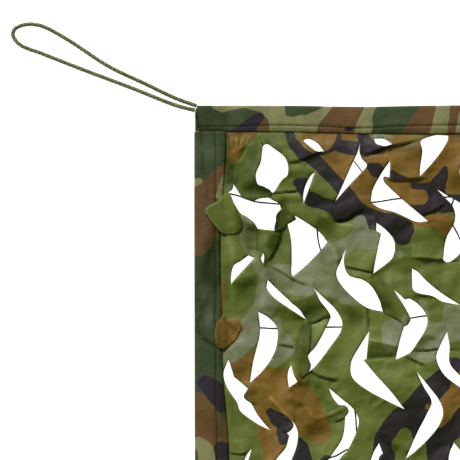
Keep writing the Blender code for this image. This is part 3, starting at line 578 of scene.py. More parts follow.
# Patches of the garnish print, later ones over earlier ones: colour, then circles x, y, radius that are
# joined in a row.
GREEN, GREY, BROWN, BLACK = "green", "grey", "brown", "black"
PATCHES = (
    # the upper right: brown, with the black over it
    (BROWN, (133, 34, 7), (146, 40, 10), (157, 38, 12), (156, 52, 6), (170, 44, 12)),
    (BROWN, (163, 66, 9.5), (170, 68, 12), (190, 62, 26), (230, 66, 36), (285, 62, 44), (340, 80, 60)),
    (BROWN, (36, 41, 2.5), (42, 38, 6), (55, 38, 9.5), (66.5, 35, 6)),
    (BROWN, (53, 45, 9), (47, 56, 7), (45, 63, 5)),
    (BROWN, (176, 72, 14), (200, 94, 22), (214, 108, 16), (228, 116, 12)),
    (BROWN, (250, 96, 20), (300, 100, 30)),
    (BLACK, (113, 33, 5.5), (120.6, 47.4, 7.4), (130.5, 57, 8.6), (138, 61.5, 8), (150, 72, 8.4),
     (165, 87, 7.6),
     (175, 97.5, 8.2), (184, 110, 10), (193, 123, 10.5), (203, 130, 10), (217, 136.5, 10.5),
      (228, 140, 11)),
    (BLACK, (143, 57, 4), (153, 57.5, 2.6), (160, 55.3, 2.2), (167, 50, 3.6), (172, 43, 3.6),
     (173, 34, 2.4)),
    (BLACK, (175, 49, 7.6), (184, 50, 8), (195, 51, 8.2)),
    (BROWN, (178, 37.5, 2.6), (183.5, 35, 6), (189, 37, 5.4), (194.5, 41.5, 2.4)),
    (BLACK, (199, 37, 4.6), (204, 41, 8), (206, 48.5, 10.5), (205, 53.5, 8)),
    (BLACK, (214, 51, 8), (226, 49.4, 4), (237, 47.2, 0.8)),
    (BROWN, (122, 37.5, 1.8), (132, 48.5, 2.6), (143, 55, 2)),
    (GREY, (216, 36, 3), (226, 36.5, 3), (236, 37, 2)),
    (GREEN, (260, 34.5, 3), (274, 34.5, 3), (288, 32, 3)),
    (GREEN, (261, 45, 3.5)),
    (BLACK, (210, 73, 5), (217, 77, 8.6), (224, 81, 6)),
    # painted shadow: black where the cloth lies in shade under the fold above
    (BLACK, (236, 82, 5), (243, 84.2, 2.8), (255, 86.6, 0.8)),
    (BLACK, (299.5, 75, 3), (297, 84, 6), (291, 94, 9.5), (287, 106, 12), (296, 117, 11.8),
     (308, 116.4, 10.4),
     (325, 118, 11)),
    (BLACK, (262, 96.5, 3.6), (272, 97.5, 5.2), (283, 99, 9)),
    (BLACK, (258, 118, 6), (272, 124, 9), (284, 121, 10)),
    (BROWN, (256, 109, 9.2), (270.5, 109.5, 8.8)),
    (BROWN, (266, 139, 6.2), (284, 137.5, 8), (301, 143, 11)),
    (BLACK, (140, 112.5, 9.3), (152, 117, 7.2), (163, 120.5, 8.4), (176, 128, 12.2), (186, 124, 12)),
    (BLACK, (208, 133, 9), (213.5, 145, 6)),
    (BLACK, (172.5, 112, 4.5)),
    (BLACK, (122, 91.5, 5), (133, 91.5, 5.2)),
    (BLACK, (129, 96, 8.5), (132, 104, 6)),
    (BLACK, (222, 137, 9), (236, 141, 12.8), (250, 147.5, 12.2), (248.6, 157, 10.4)),
    # green and grey over the middle
    (GREY, (197, 138, 8), (199, 147, 9), (196, 158, 10), (186, 165, 9.5), (172, 172, 10), (160, 177, 13)),
    (GREY, (198, 160.5, 11.6), (212, 160.5, 11.6), (224, 160, 9)),
    (GREY, (152, 186, 15), (146, 206, 19.5), (124, 210, 18), (100, 204, 15)),
    (GREY, (152, 200, 20), (166, 212, 18), (182, 224, 13.5), (192, 230, 9.5)),
    (GREY, (60, 134, 6), (64, 148, 9.5), (64, 163, 9.5), (67, 174, 6)),
    (GREY, (72, 186, 5), (75, 198, 4)),
    (GREY, (88, 205, 13), (88, 226, 15), (83, 242, 13), (70, 258, 12), (62, 276, 14), (50, 290, 14),
     (40, 299, 10)),
    (GREY, (98, 262, 9), (104, 284, 12), (112, 290, 9), (92, 304, 12)),
    (GREEN, (118, 247, 12), (112, 264, 9)),
    (GREY, (238, 270, 15.4), (238, 283, 13.6)),
    (GREY, (253, 256, 6)),
    (GREY, (261, 292, 8), (270, 297, 9.5)),
    (GREY, (245, 177, 5)),
    (GREY, (271, 239, 7), (276, 252, 9), (282, 266, 11), (286, 280, 14), (278, 295, 13)),
    (GREY, (304, 250, 13), (308, 268, 16), (322, 250, 14)),
    (GREEN, (288, 235, 9.4), (288, 251, 9)),
    # the lower left
    (BROWN, (33, 206, 1.6), (35, 217, 2.2), (33.5, 234, 2), (31, 250, 4)),
    (BROWN, (31, 258, 7), (34, 271, 13), (33, 282, 11), (46, 265, 11), (43, 278, 8)),
    (BROWN, (52, 318, 12.5), (66, 307.5, 11.5), (64, 322, 12)),
    (BROWN, (88, 326, 14), (103, 333, 19.8), (123, 342, 16), (134, 353, 13.6), (140, 367, 13.6),
     (146, 382, 15.4),
     (148.6, 391.5, 14.6)),
    (BROWN, (112, 352, 18), (130, 368, 15), (137, 385, 13.4)),
    (BROWN, (76, 345, 15), (84, 362, 13), (88, 378, 9), (96, 392, 8)),
    (GREEN, (60, 346, 3), (65, 353, 3), (71, 362, 1.6)),
    (BROWN, (84, 392.5, 9.8), (93.5, 404, 14), (97, 424, 14)),
    (BLACK, (90, 367, 4.6), (98, 374.5, 8.5), (107, 381, 9.8), (105, 392, 7.5), (105, 401, 5)),
    (BLACK, (120.5, 401, 6.5), (127, 411, 10), (129, 428, 12)),
    (BLACK, (158, 424.5, 6.8), (150, 432, 6)),
    # the lower right
    (BROWN, (318, 336, 14), (308, 350, 14), (301, 365, 11.5), (297, 375.5, 8.4)),
    (BROWN, (322, 320, 8)),
    (BLACK, (311, 310, 9), (298, 325, 11.5), (284, 340, 14), (272, 351, 13), (259, 363, 12),
     (250, 371, 12.6),
     (237, 385, 13.4), (228, 399, 12.6), (226, 420, 14)),
    (BLACK, (298, 335, 8), (291, 344, 6)),
    (BLACK, (279, 348, 9), (273, 366, 12), (262, 386, 13), (248, 390, 10)),
    (BROWN, (279, 360, 3.6), (284, 357.5, 3)),
    (GREEN, (251.5, 394.5, 8.6), (248, 406, 12.6), (256, 420, 12)),
    (BLACK, (324, 372, 13), (314, 384, 11.4), (301, 394.5, 11.6), (291, 400, 15), (296, 420, 18)),
    (GREEN, (265, 414, 11), (268, 428, 11)),
    (GREEN, (318, 407, 5)),
)

# What scattered patches are drawn from past the charted corner.
CLOTH_PRINT_SEED, STRIP_PRINT_SEED = 41, 60
CLOTH_PATCHES, STRIP_PATCHES = (520, 19.0), (210, 17.0)  # how many, and radius of the largest circle
CLOTH_MIX = (BROWN, BROWN, BLACK, BLACK, GREY, GREY, GREEN)

# The strips' print, the same way; what no patch covers is dark green.
KHAKI, RUST = "khaki", "rust"
TOP_PATCHES = (
    (KHAKI, (60, -3, 6), (78, -1, 8), (95, 8, 14), (100, 24, 12), (120, 26, 13), (142, 20, 14),
     (165, 8, 12)),
    (KHAKI, (24, 1, 4), (33, 0, 8), (42, 0, 5), (60, 0, 3)),
    (GREEN, (125, 3, 6.6), (131, 2.5, 8.6), (142, 0, 7), (152, -5, 5)),
    (RUST, (189, -2, 20.5), (180, 14, 20), (170, 31, 23)),
    (KHAKI, (211.5, -2, 7), (206, 12, 6.6), (203, 24, 9.5), (201, 35, 11)),
    (RUST, (84, 17, 4), (82, 26, 7), (80, 35, 9)),
    (BLACK, (78, 13.5, 5.4), (70, 20, 8.4), (62, 28.5, 10), (46, 33, 5)),
    # painted shade: black in the small tuck of the strip's lower fold
    (BLACK, (181.5, 28.6, 2), (186.5, 28.6, 2)),
    (RUST, (280, -2, 10.5), (275.5, 11, 11.5), (269, 26, 14.5), (264, 38, 17)),
    (KHAKI, (299, -2, 9.4), (296, 16, 9.8), (292, 35, 11)),
    (RUST, (314, -2, 6.6), (310.5, 16, 5.2), (307, 35, 5.2)),
    (KHAKI, (328, -2, 8), (324, 16, 9), (321, 35, 9.6)),
)
LEFT_PATCHES = (
    (RUST, (38, 72, 5), (28, 84, 9), (14, 104, 14), (20, 124, 19), (14, 146, 17), (4, 168, 12.5)),
    (KHAKI, (0, 91, 5.5), (5, 90, 4)),
    (KHAKI, (37, 84, 3.5), (32, 97, 4), (29, 107, 4)),
    (RUST, (2, 362, 18), (14, 381, 20), (30, 396, 17), (20, 412, 20)),
    (RUST, (0, 384, 12), (10, 402, 12)),
    (BLACK, (13, 332.5, 10), (25, 343, 12.4), (33, 358, 9.5)),
    (KHAKI, (4, 404, 6.4), (13, 412, 9.4), (15, 426, 11)),
    (BLACK, (33, 411, 8.8), (34, 426, 9)),
)

STRIP_MIX = (KHAKI, RUST, BLACK, GREEN, KHAKI, RUST)

# Colours, linear.
FIELD_COLOURS = {
    GREEN: (0.108, 0.138, 0.0258),
    GREY: (0.160, 0.182, 0.0865),
    BROWN: (0.172, 0.098, 0.0166),
    BLACK: (0.024, 0.020, 0.0193),
}
STRIP_COLOURS = {
    GREEN: (0.042, 0.062, 0.0244),
    KHAKI: (0.195, 0.195, 0.0827),
    RUST: (0.118, 0.064, 0.0226),
    BLACK: (0.025, 0.020, 0.0263),
}
PRINT_EDGE = 0.35  # half the width of a print's soft edge
CLOTH_WAVER, STRIP_WAVER = 1.1, 1.4  # how far a print's outline wavers
TONE_POWERS = (1.12, 1.0, 1.7)  # of the painted shade and highlight's effect on red, green and blue
# powers and limits of the painted shade from how squarely the cloth faces the light
SHADE_POWERS = (0.2, 0.08, 0.8)
SHADE_LIMITS = (0.2, 1.2)


# ---------------------------------------------------------------- shared geometry


def place(x, y, z=0.0):
    return Vector(((x - SIDE / 2) * MM, (SIDE / 2 - y) * MM, z * MM))


def smooth(t):
    t = np.clip(t, 0.0, 1.0)
    return t * t * (3 - 2 * t)


def curve(a, b, rise_a, rise_b, f):
    """The place at f, from 0 to 1, on a smooth piece from a to b that leaves and arrives at two rises."""
    return (
        a * (1 + 2 * f) * (1 - f) ** 2
        + b * f * f * (3 - 2 * f)
        + rise_a * f * (1 - f) ** 2
        - rise_b * f * f * (1 - f)
    )


def through(values, t):
    """A smooth run through evenly spaced values, t from 0 to 1."""
    at = min(max(t, 0.0), 1.0) * (len(values) - 1)
    k = min(int(at), len(values) - 2)
    a, b = values[k], values[k + 1]
    before = values[k - 1] if k else 2 * a - b
    after = values[k + 2] if k + 2 < len(values) else 2 * b - a
    return curve(a, b, (b - before) / 2, (after - a) / 2, at - k)


def through_many(values, t):
    """The same run at many places at once, read from a fine row of its values."""
    fine = np.linspace(0.0, 1.0, 401)
    return np.interp(t, fine, [through(values, v) for v in fine])


class Gap:
    """One opened cut: its middle, its tips, the bows of its lips and their lifts."""

    def __init__(self, top, end, left, right, lifts, scale=1.0):
        self.mid = ((top[0] + end[0]) / 2, (top[1] + end[1]) / 2)
        self.top = [m + (p - m) * scale for m, p in zip(self.mid, top)]
        self.end = [m + (p - m) * scale for m, p in zip(self.mid, end)]
        self.left = [0.0, *(v * scale for v in left), 0.0]
        self.right = [0.0, *(v * scale for v in right), 0.0]
        self.lifts = lifts
        dx, dy = self.end[0] - self.top[0], self.end[1] - self.top[1]
        self.long = math.hypot(dx, dy)
        self.along = (dx / self.long, dy / self.long)
        self.side = (self.along[1], -self.along[0])

    def point(self, t, off):
        return (
            self.top[0] + self.along[0] * self.long * t + self.side[0] * off,
            self.top[1] + self.along[1] * self.long * t + self.side[1] * off,
        )

    def outline(self, steps=None):
        """Tip, right lip, tip and left lip, with points on each lip at the given shares of the way."""
        if steps is None:
            steps = (0.13, 0.38, 0.62, 0.87) if self.long > 30 else (0.3, 0.7)
        right = [self.point(t, through(self.right, t)) for t in steps]
        left = [self.point(t, through(self.left, t)) for t in reversed(steps)]
        return [self.point(0, 0), *right, self.point(1, 0), *left]

    def fine_outline(self, step):
        count = max(6, round(self.long / step))
        return self.outline([(k or 0.35) / count for k in range(count)])

    def lift(self, x, y, reach):
        """How much the gap's lips lift the cloth at many places."""
        rx, ry = x - self.top[0], y - self.top[1]
        t = (rx * self.along[0] + ry * self.along[1]) / self.long
        off = rx * self.side[0] + ry * self.side[1]
        left, right = through_many(self.left, t), through_many(self.right, t)
        over_tips = 0.25 + 0.75 * np.sin(np.pi * np.clip(t, 0.0, 1.0))
        over_tips = over_tips * smooth((t + PAST_TIP) / PAST_TIP) * smooth((1 + PAST_TIP - t) / PAST_TIP)
        is_left = off < (left + right) / 2
        away = np.where(is_left, left - off, off - right)
        high = np.where(is_left, self.lifts[0], self.lifts[1])
        return high * over_tips * np.exp(-((away / reach) ** 2))


def distance(points, others):
    """The least distance between two outlines' corners and sides."""

    def to_side(p, a, b):
        dx, dy = b[0] - a[0], b[1] - a[1]
        t = ((p[0] - a[0]) * dx + (p[1] - a[1]) * dy) / (dx * dx + dy * dy)
        t = min(max(t, 0.0), 1.0)
        return math.hypot(p[0] - a[0] - dx * t, p[1] - a[1] - dy * t)

    def one_way(some, ring):
        return min(to_side(p, ring[k - 1], ring[k]) for p in some for k in range(len(ring)))

    return min(one_way(points, others), one_way(others, points))


def strip_width(name, along):
    return through(STRIP_WIDTHS[name], along / SIDE)


def strip_outer(name, along):
    return through(STRIP_EDGES[name], along / SIDE)


def inside_strips(points, spare):
    return all(
        strip_width("left", y) + spare < x < SIDE - strip_width("right", y) - spare
        and strip_width("top", x) + spare < y < SIDE - strip_width("bottom", x) - spare
        for x, y in points
    )


def all_gaps():
    gaps = [Gap(r[0:2], r[2:4], r[4:7], r[7:10], r[10:12]) for r in GAPS]
    outlines = [g.outline() for g in gaps]
    rng = random.Random(REPEAT_SEED)
    for row in range(int(SIDE / REPEAT_TALL) + 2):
        y = REPEAT_FROM[1] + row * REPEAT_TALL
        for column in range(-1, int(SIDE / REPEAT_WIDE) + 1):
            x = REPEAT_FROM[0] + (column + 0.5 * (row % 2)) * REPEAT_WIDE
            x += rng.uniform(-REPEAT_SHIFT[0], REPEAT_SHIFT[0])
            cut = CUTS[(row * 3 + column * 2 + rng.randrange(2)) % len(CUTS)]
            top_y = y + rng.uniform(-REPEAT_SHIFT[1], REPEAT_SHIFT[1])
            lean = cut[1] + rng.uniform(-LEAN_SHIFT, LEAN_SHIFT)
            if x < GAPS_END[0] and top_y < GAPS_END[1]:
                continue
            tip = (x - lean / 2, top_y - cut[0] / 2)
            end = (x + lean / 2, top_y + cut[0] / 2)
            for scale in SMALLER:
                gap = Gap(tip, end, cut[2:5], cut[5:8], cut[8:10], scale)
                outline = gap.outline()
                if not inside_strips(outline, GAP_FROM_STRIP):
                    continue
                near = [o for o in outlines if max(abs(o[0][0] - tip[0]), abs(o[0][1] - tip[1])) < CUT_NEAR]
                if all(distance(outline, other) > STRIP_LEFT for other in near):
                    gaps.append(gap)
                    outlines.append(outline)
                    break
    return gaps


def even_steps(rows, step):
    """Points at about the given step along a smooth curve through the rows."""
    fine = []
    for k in range(len(rows) - 1):
        a, b = Vector(rows[k]), Vector(rows[k + 1])
        before = Vector(rows[k - 1]) if k else 2 * a - b
        after = Vector(rows[k + 2]) if k + 2 < len(rows) else 2 * b - a
        long, long_before, long_after = (b - a).length, (a - before).length, (after - b).length
        rise_a = (b - before) * long / (long + long_before)
        rise_b = (after - a) * long / (long + long_after)
        fine += [curve(a, b, rise_a, rise_b, i / CURVE_PARTS) for i in range(CURVE_PARTS)]
    fine.append(Vector(rows[-1]))
    lengths = [(q - p).length for p, q in zip(fine, fine[1:])]
    total = sum(lengths)
    count = max(2, round(total / step))
    made, run, k = [fine[0]], 0.0, 0
    for i in range(1, count):
        goal = total * i / count
        while run + lengths[k] < goal:
            run += lengths[k]
            k += 1
        made.append(fine[k].lerp(fine[k + 1], (goal - run) / lengths[k]))
    return made + [fine[-1]]


def closed_steps(rows, step):
    """Points along a smooth closed curve through the rows."""
    made = []
    for k in range(len(rows)):
        before, a, b, after = (Vector(rows[(k + i) % len(rows)]) for i in (-1, 0, 1, 2))
        count = max(1, round((b - a).length / step))
        made += [curve(a, b, (b - before) / 2, (after - a) / 2, i / count) for i in range(count)]
    return [(p.x, p.y) for p in made]


def lip_ring(lips):
    """A gap's outline from its lips."""
    made = []
    for lip, after in zip(lips, lips[1:] + lips[:1]):
        made += even_steps([*lip, after[0]], LIP_STEP)[:-1]
    return [(p.x, p.y) for p in made]


def noise_rows(x, y, wide, tall, seed):
    """Smooth noise from -1 to 1 at many places, with lumps of the given size in mm."""
    return np.array([noise.noise(Vector((a / wide, b / tall, seed))) for a, b in zip(x, y)])


def bell(x, y, wide, tall):
    """A soft hill, 1 at its middle, from the distances to the middle and its reach."""
    return np.exp(-((x / wide) ** 2) - (y / tall) ** 2)


def near_box(x, y, points, far):
    """Which of many places lie in the box round some points, or as far as that outside it."""
    xs, ys = zip(*points)
    return np.flatnonzero(
        (x > min(xs) - far) & (x < max(xs) + far) & (y > min(ys) - far) & (y < max(ys) + far)
    )


def inside(ring, x, y):
    """Which of many places lie inside a closed outline."""
    hit = np.zeros(len(x), bool)
    for k in range(len(ring)):
        (xa, ya), (xb, yb) = ring[k - 1], ring[k]
        if ya != yb:
            hit ^= ((ya > y) != (yb > y)) & (x < (xb - xa) * (y - ya) / (yb - ya) + xa)
    return hit


def tree_of(points):
    tree = kdtree.KDTree(len(points))
    for k, p in enumerate(points):
        tree.insert((*p, 0), k)
    tree.balance()
    return tree


def clear_of(tree, p):
    """Distance from a place to the nearest point of a tree."""
    return tree.find((*p, 0))[2]


def cord_ring(middle, side, up, radius):
    """One ring of points round a thin cord."""
    turns = [math.tau * i / CORD_SIDES for i in range(CORD_SIDES)]
    return [middle + (side * math.cos(turn) + up * math.sin(turn)) * radius for turn in turns]


def tube_faces(faces, first, rings, sides):
    """Adds the faces of a closed tube, whose rings of points follow one another, and its two ends."""
    last = first + (rings - 1) * sides
    for k in range(first, last, sides):
        for i in range(sides):
            j = (i + 1) % sides
            faces.append((k + i, k + j, k + sides + j, k + sides + i))
    faces.append(tuple(range(first, first + sides))[::-1])
    faces.append(tuple(range(last, last + sides)))


def mesh_object(name, verts, faces, smooth_shaded=True):
    mesh = bpy.data.meshes.new(name)
    mesh.from_pydata([tuple(v) for v in verts], [], faces)
    if smooth_shaded:
        mesh.shade_smooth()
    mesh.update()
    ob = bpy.data.objects.new(name, mesh)
    bpy.context.scene.collection.objects.link(ob)
    return ob


def add_row(ob, name, values):
    """A float for each point of the mesh, which the material reads by name."""
    layer = ob.data.attributes.new(name, "FLOAT", "POINT")
    layer.data.foreach_set("value", np.asarray(values, np.float32))


def read_rows(data, name, kind=float, wide=1):
    values = np.empty(len(data) * wide, kind)
    data.foreach_get(name, values)
    return values.reshape(-1, wide) if wide > 1 else values


def finish_cloth(ob, tone, fields, mat):
    """Gives printed cloth its rows, its UVs in metres of the flat cloth for the weave, and its material."""
    mesh = ob.data
    for name, field in fields.items():
        add_row(ob, name, field)
    # the tone row holds painted shade and highlight
    add_row(ob, "tone", np.exp(tone))
    # how squarely each point faces the light, against flat cloth, which the material paints as shade
    light = Vector(SUN_FROM).normalized()
    facing = np.abs(read_rows(mesh.vertices, "normal", wide=3) @ np.array(light)) / light.z
    add_row(ob, "shade", np.clip(facing, *SHADE_LIMITS))
    where = read_rows(mesh.vertices, "co", wide=3)
    corner = read_rows(mesh.loops, "vertex_index", int)
    mesh.uv_layers.new(name="weave").data.foreach_set("uv", where[corner][:, :2].ravel())
    mesh.materials.append(mat)


# ---------------------------------------------------------------- the print's fields


def patch_depth(circles, x, y):
    """How deep places lie inside a row of joined circles, in mm, negative outside."""
    deep = np.full(len(x), -1e3)
    pairs = list(zip(circles, circles[1:])) or [(circles[0], circles[0])]
    for (xa, ya, ra), (xb, yb, rb) in pairs:
        dx, dy = xb - xa, yb - ya
        long = max(dx * dx + dy * dy, 1e-6)
        t = np.clip(((x - xa) * dx + (y - ya) * dy) / long, 0.0, 1.0)
        deep = np.maximum(deep, ra + (rb - ra) * t - np.hypot(x - xa - dx * t, y - ya - dy * t))
    return deep


def print_fields(patches, x, y, names, waver):
    """For each colour name, how deep each place lies inside that colour."""
    x = x + waver * noise_rows(x, y, 15, 15, 3.1)
    y = y + waver * noise_rows(x, y, 15, 15, 8.7)
    fields = {name: np.full(len(x), -60.0) for name in names}
    for colour, *circles in patches:
        deep = patch_depth(circles, x, y)
        for name in names:
            if name == colour:
                fields[name] = np.maximum(fields[name], deep)
            else:
                fields[name] = np.minimum(fields[name], -deep)
    return fields


def scattered_patches(seed, count_and_size, colours, box, keep_out):
    """More patches for the part of the cloth past the charted corner."""
    rng = random.Random(seed)
    count, size = count_and_size
    made = []
    for _ in range(count):
        x, y = rng.uniform(box[0], box[2]), rng.uniform(box[1], box[3])
        turn = rng.uniform(0, math.tau)
        circles = []
        for _ in range(rng.randrange(2, 5)):
            circles.append((x, y, rng.uniform(0.45, 1.0) * size))
            turn += rng.uniform(-0.9, 0.9)
            step = rng.uniform(0.9, 1.7) * size
            x, y = x + step * math.cos(turn), y + step * math.sin(turn)
        colour = colours[rng.randrange(len(colours))]
        if all(cx - r > keep_out[0] or cy - r > keep_out[1] for cx, cy, r in circles):
            made.append((colour, *circles))
    return tuple(made)


# ---------------------------------------------------------------- materials


class Shader:
    """Builds one material's nodes. What goes into a node is a number, a colour or a node's output."""

    def __init__(self, name):
        self.material = bpy.data.materials.new(name)
        self.material.use_nodes = True
        self.tree = self.material.node_tree
        self.main = self.tree.nodes["Principled BSDF"]

    def feed(self, node, inputs):
        for name, value in inputs.items():
            socket = next(s for s in node.inputs if s.identifier == name)
            if isinstance(value, tuple):
                socket.default_value = (*value, 1.0)
            elif isinstance(value, (int, float)):
                socket.default_value = value
            else:
                self.tree.links.new(value, socket)

    def node(self, kind, inputs, **settings):
        made = self.tree.nodes.new(kind)
        for key, value in settings.items():
            setattr(made, key, value)
        self.feed(made, inputs)
        return made

    def noise(self, scale, detail=2.0, roughness=0.5):
        where = self.node("ShaderNodeTexCoord", {}).outputs["Object"]
        inputs = {"Scale": scale, "Detail": detail, "Roughness": roughness, "Vector": where}
        return self.node("ShaderNodeTexNoise", inputs).outputs["Fac"]

    def row(self, name):
        return self.node("ShaderNodeAttribute", {}, attribute_name=name).outputs["Fac"]

    def ramp(self, value, low, high, out_low=0.0, out_high=1.0):
        inputs = {"Value": value, "From Min": low, "From Max": high, "To Min": out_low, "To Max": out_high}
        return self.node("ShaderNodeMapRange", inputs, interpolation_type="SMOOTHSTEP").outputs["Result"]

    def math(self, operation, a, b):
        return self.node("ShaderNodeMath", {"Value": a, "Value_001": b}, operation=operation).outputs[0]

    def mix(self, factor, a, b, blend="MIX"):
        inputs = {"Factor_Float": factor, "A_Color": a, "B_Color": b}
        made = self.node("ShaderNodeMix", inputs, data_type="RGBA", blend_type=blend)
        return next(s for s in made.outputs if s.identifier == "Result_Color")

    def brighten(self, colour, factor, powers=(1.0, 1.0, 1.0)):
        """The colour times a value, raised to a power for each of red, green and blue."""
        parts = [factor if power == 1.0 else self.math("POWER", factor, power) for power in powers]
        combined = self.node("ShaderNodeCombineColor", dict(zip(("Red", "Green", "Blue"), parts)))
        return self.mix(1.0, colour, combined.outputs[0], "MULTIPLY")

    def bump(self, height, strength, far, normal=None):
        inputs = {"Strength": strength, "Distance": far, "Height": height}
        if normal is not None:
            inputs["Normal"] = normal
        return self.node("ShaderNodeBump", inputs).outputs["Normal"]

    def finish(self, colour, roughness, specular, relief):
        self.feed(self.main, {"Base Color": colour, "Normal": relief})
        self.feed(self.main, {"Roughness": roughness, "Specular IOR Level": specular})
        return self.material

    def weave(self, pitch):
        """Height of a plain weave: two crossed rows of waves."""
        uv = self.node("ShaderNodeUVMap", {}, uv_map="weave").outputs["UV"]
        inputs = {"Scale": math.pi / (10 * pitch * MM), "Vector": uv}
        waves = [self.node("ShaderNodeTexWave", inputs, bands_direction=way).outputs["Fac"] for way in "XY"]
        return self.math("ADD", *waves)


def print_material(name, colours, roughness, waver_low, waver_high, weave_pitch):
    """Printed cloth: the base colour where no field is positive, and each other colour where its is, all
    brighter or darker by the tone painted on the mesh, which is painted shade and highlight. Where the cloth
    faces away from the light it gets painted shade that is deeper in colour, as the light there has met the
    cloth more than once."""
    s = Shader(name)
    names = list(colours)
    colour = colours[names[0]]
    for other in names[1:]:
        colour = s.mix(s.ramp(s.row(other), -PRINT_EDGE, PRINT_EDGE), colour, colours[other])
    worn = s.ramp(s.noise(26.0, 4.0, 0.6), 0.3, 0.7, waver_low, waver_high)
    fibre = s.ramp(s.noise(900.0, 2.0, 0.6), 0.3, 0.7, 0.93, 1.07)
    colour = s.brighten(s.brighten(colour, worn), fibre)
    # painted shade and highlight from the tone row
    colour = s.brighten(colour, s.row("tone"), TONE_POWERS)
    # painted shade where the cloth faces away from the light
    colour = s.brighten(colour, s.row("shade"), SHADE_POWERS)
    crumple = s.bump(s.noise(75.0, 3.0, 0.55), 0.2, 0.004)
    fine = s.bump(s.noise(240.0, 2.0, 0.5), 0.2, 0.0012, crumple)
    relief = s.bump(s.weave(weave_pitch), 0.25, 0.00012, fine)
    return s.finish(colour, roughness, 0.16, relief)


def thread_material(name, dark, light, roughness, scale):
    s = Shader(name)
    colour = s.mix(s.ramp(s.noise(scale, 3.0), 0.35, 0.65), dark, light)
    return s.finish(colour, roughness, 0.12, s.bump(s.noise(scale * 4, 2.0), 0.4, 0.0003))


def braid_material():
    """Braided cord: strands from the mesh's own relief, with painted shade in the grooves between
    them and dark flecks along them.
    """
    s = Shader("loop_braid")
    fleck = s.noise(420.0, 2.0, 0.6)
    strand = s.mix(s.ramp(fleck, 0.42, 0.62), (0.085, 0.105, 0.030), (0.230, 0.270, 0.090))
    # painted shade: near black where the relief is lowest, in the grooves between strands
    colour = s.mix(s.ramp(s.row("relief"), 0.15, 0.75), (0.018, 0.024, 0.008), strand)
    colour = s.mix(s.row("dark"), colour, (0.022, 0.028, 0.010))
    s.feed(s.main, {"Sheen Weight": 0.15, "Sheen Roughness": 0.5})
    return s.finish(colour, 0.62, 0.35, s.bump(s.noise(1500.0, 2.0), 0.35, 0.0002))


# ---------------------------------------------------------------- camera, light and floor


def camera():
    data = bpy.data.cameras.new("camera")
    data.sensor_width = SENSOR
    data.lens = SENSOR * (CAMERA_HIGH - VIEW_PLANE) / (VIEW_WIDE * MM)
    ob = bpy.data.objects.new("camera", data)
    middle = place(VIEW_LEFT + VIEW_WIDE / 2, VIEW_TOP + VIEW_WIDE / 2)
    ob.location = (middle.x, middle.y, CAMERA_HIGH)
    bpy.context.scene.collection.objects.link(ob)
    bpy.context.scene.camera = ob


def studio():
    sun = bpy.data.lights.new("key", "SUN")
    sun.energy = SUN_STRENGTH
    sun.angle = math.radians(SUN_WIDE)
    ob = bpy.data.objects.new("key", sun)
    ob.rotation_euler = Vector(SUN_FROM).to_track_quat("Z", "Y").to_euler()
    bpy.context.scene.collection.objects.link(ob)
    world = bpy.data.worlds.new("studio")
    world.use_nodes = True
    back = world.node_tree.nodes["Background"]
    back.inputs["Color"].default_value = (1.0, 1.0, 1.0, 1.0)
    back.inputs["Strength"].default_value = FILL
    bpy.context.scene.world = world
    bpy.context.scene.view_settings.view_transform = "Standard"

    s = Shader("white_floor")
    colour = s.mix(s.ramp(s.noise(3.0), 0.3, 0.7), (0.90, 0.90, 0.90), (0.94, 0.94, 0.94))
    glow = {"Emission Color": (1.0, 1.0, 1.0), "Emission Strength": 0.95}
    s.feed(s.main, {"Base Color": colour, "Roughness": 0.9, **glow})
    corners = [(x * FLOOR_HALF, y * FLOOR_HALF, FLOOR_Z) for x, y in ((-1, -1), (1, -1), (1, 1), (-1, 1))]
    floor = mesh_object("floor", corners, [(0, 1, 2, 3)], False)
    floor.data.materials.append(s.material)


# ---------------------------------------------------------------- corner loops

BRAID_SIDES = 20
BRAID_STEP = 0.9
BRAID_STRANDS = 4  # each way round
BRAID_PITCH = 11.0  # length of half a turn of a strand
BRAID_RELIEF = 0.10  # share of the radius


def corner_loop(name, right, low, mat):
    """One braided loop, mirrored from the top left one."""
    path = [
        place(SIDE + left if right else -left, SIDE + up if low else -up, LOOP_Z)
        for left, up in even_steps(LOOP_WAY, BRAID_STEP)
    ]
    verts, relief, dark = [], [], []
    run = 0.0
    up = Vector((0, 0, 1))
    for k, here in enumerate(path):
        before, after = path[max(k - 1, 0)], path[min(k + 1, len(path) - 1)]
        across = (after - before).normalized().cross(up)
        if k:
            run += (here - path[k - 1]).length / MM
        twist = math.tau * BRAID_STRANDS * run / BRAID_PITCH / 2
        for i in range(BRAID_SIDES):
            turn = math.tau * i / BRAID_SIDES
            one, two = math.cos(BRAID_STRANDS * turn + twist), math.cos(BRAID_STRANDS * turn - twist)
            high = 0.5 + 0.5 * max(one, two)
            radius = LOOP_CORD / 2 * (1 - BRAID_RELIEF + BRAID_RELIEF * high) * MM
            verts.append(here + across * radius * math.cos(turn) + up * radius * math.sin(turn))
            relief.append(high)
            dark.append(0.75 if one > two and math.sin(run * 0.9 + 3 * turn) > 0.55 else 0.0)
    faces = []
    tube_faces(faces, 0, len(path), BRAID_SIDES)
    ob = mesh_object(name + "_braid", verts, faces)
    add_row(ob, "relief", relief)
    add_row(ob, "dark", dark)
    ob.data.materials.append(mat)
    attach(ob, "root")
    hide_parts(name)


def corner_loops():
    mat = braid_material()
    corner_loop("loop_top_left", False, False, mat)
    corner_loop("loop_top_right", True, False, mat)
    corner_loop("loop_bottom_left", False, True, mat)
    corner_loop("loop_bottom_right", True, True, mat)


# ---------------------------------------------------------------- garnish cloth


def strip_width_row(name, along):
    return through_many(STRIP_WIDTHS[name], along / SIDE)


def inner_edge_distance(x, y):
    """How far places lie inside the strips' inner edges, in mm."""
    left, right = x - strip_width_row("left", y), SIDE - x - strip_width_row("right", y)
    top, bottom = y - strip_width_row("top", x), SIDE - y - strip_width_row("bottom", x)
    return np.minimum(np.minimum(left, right), np.minimum(top, bottom))


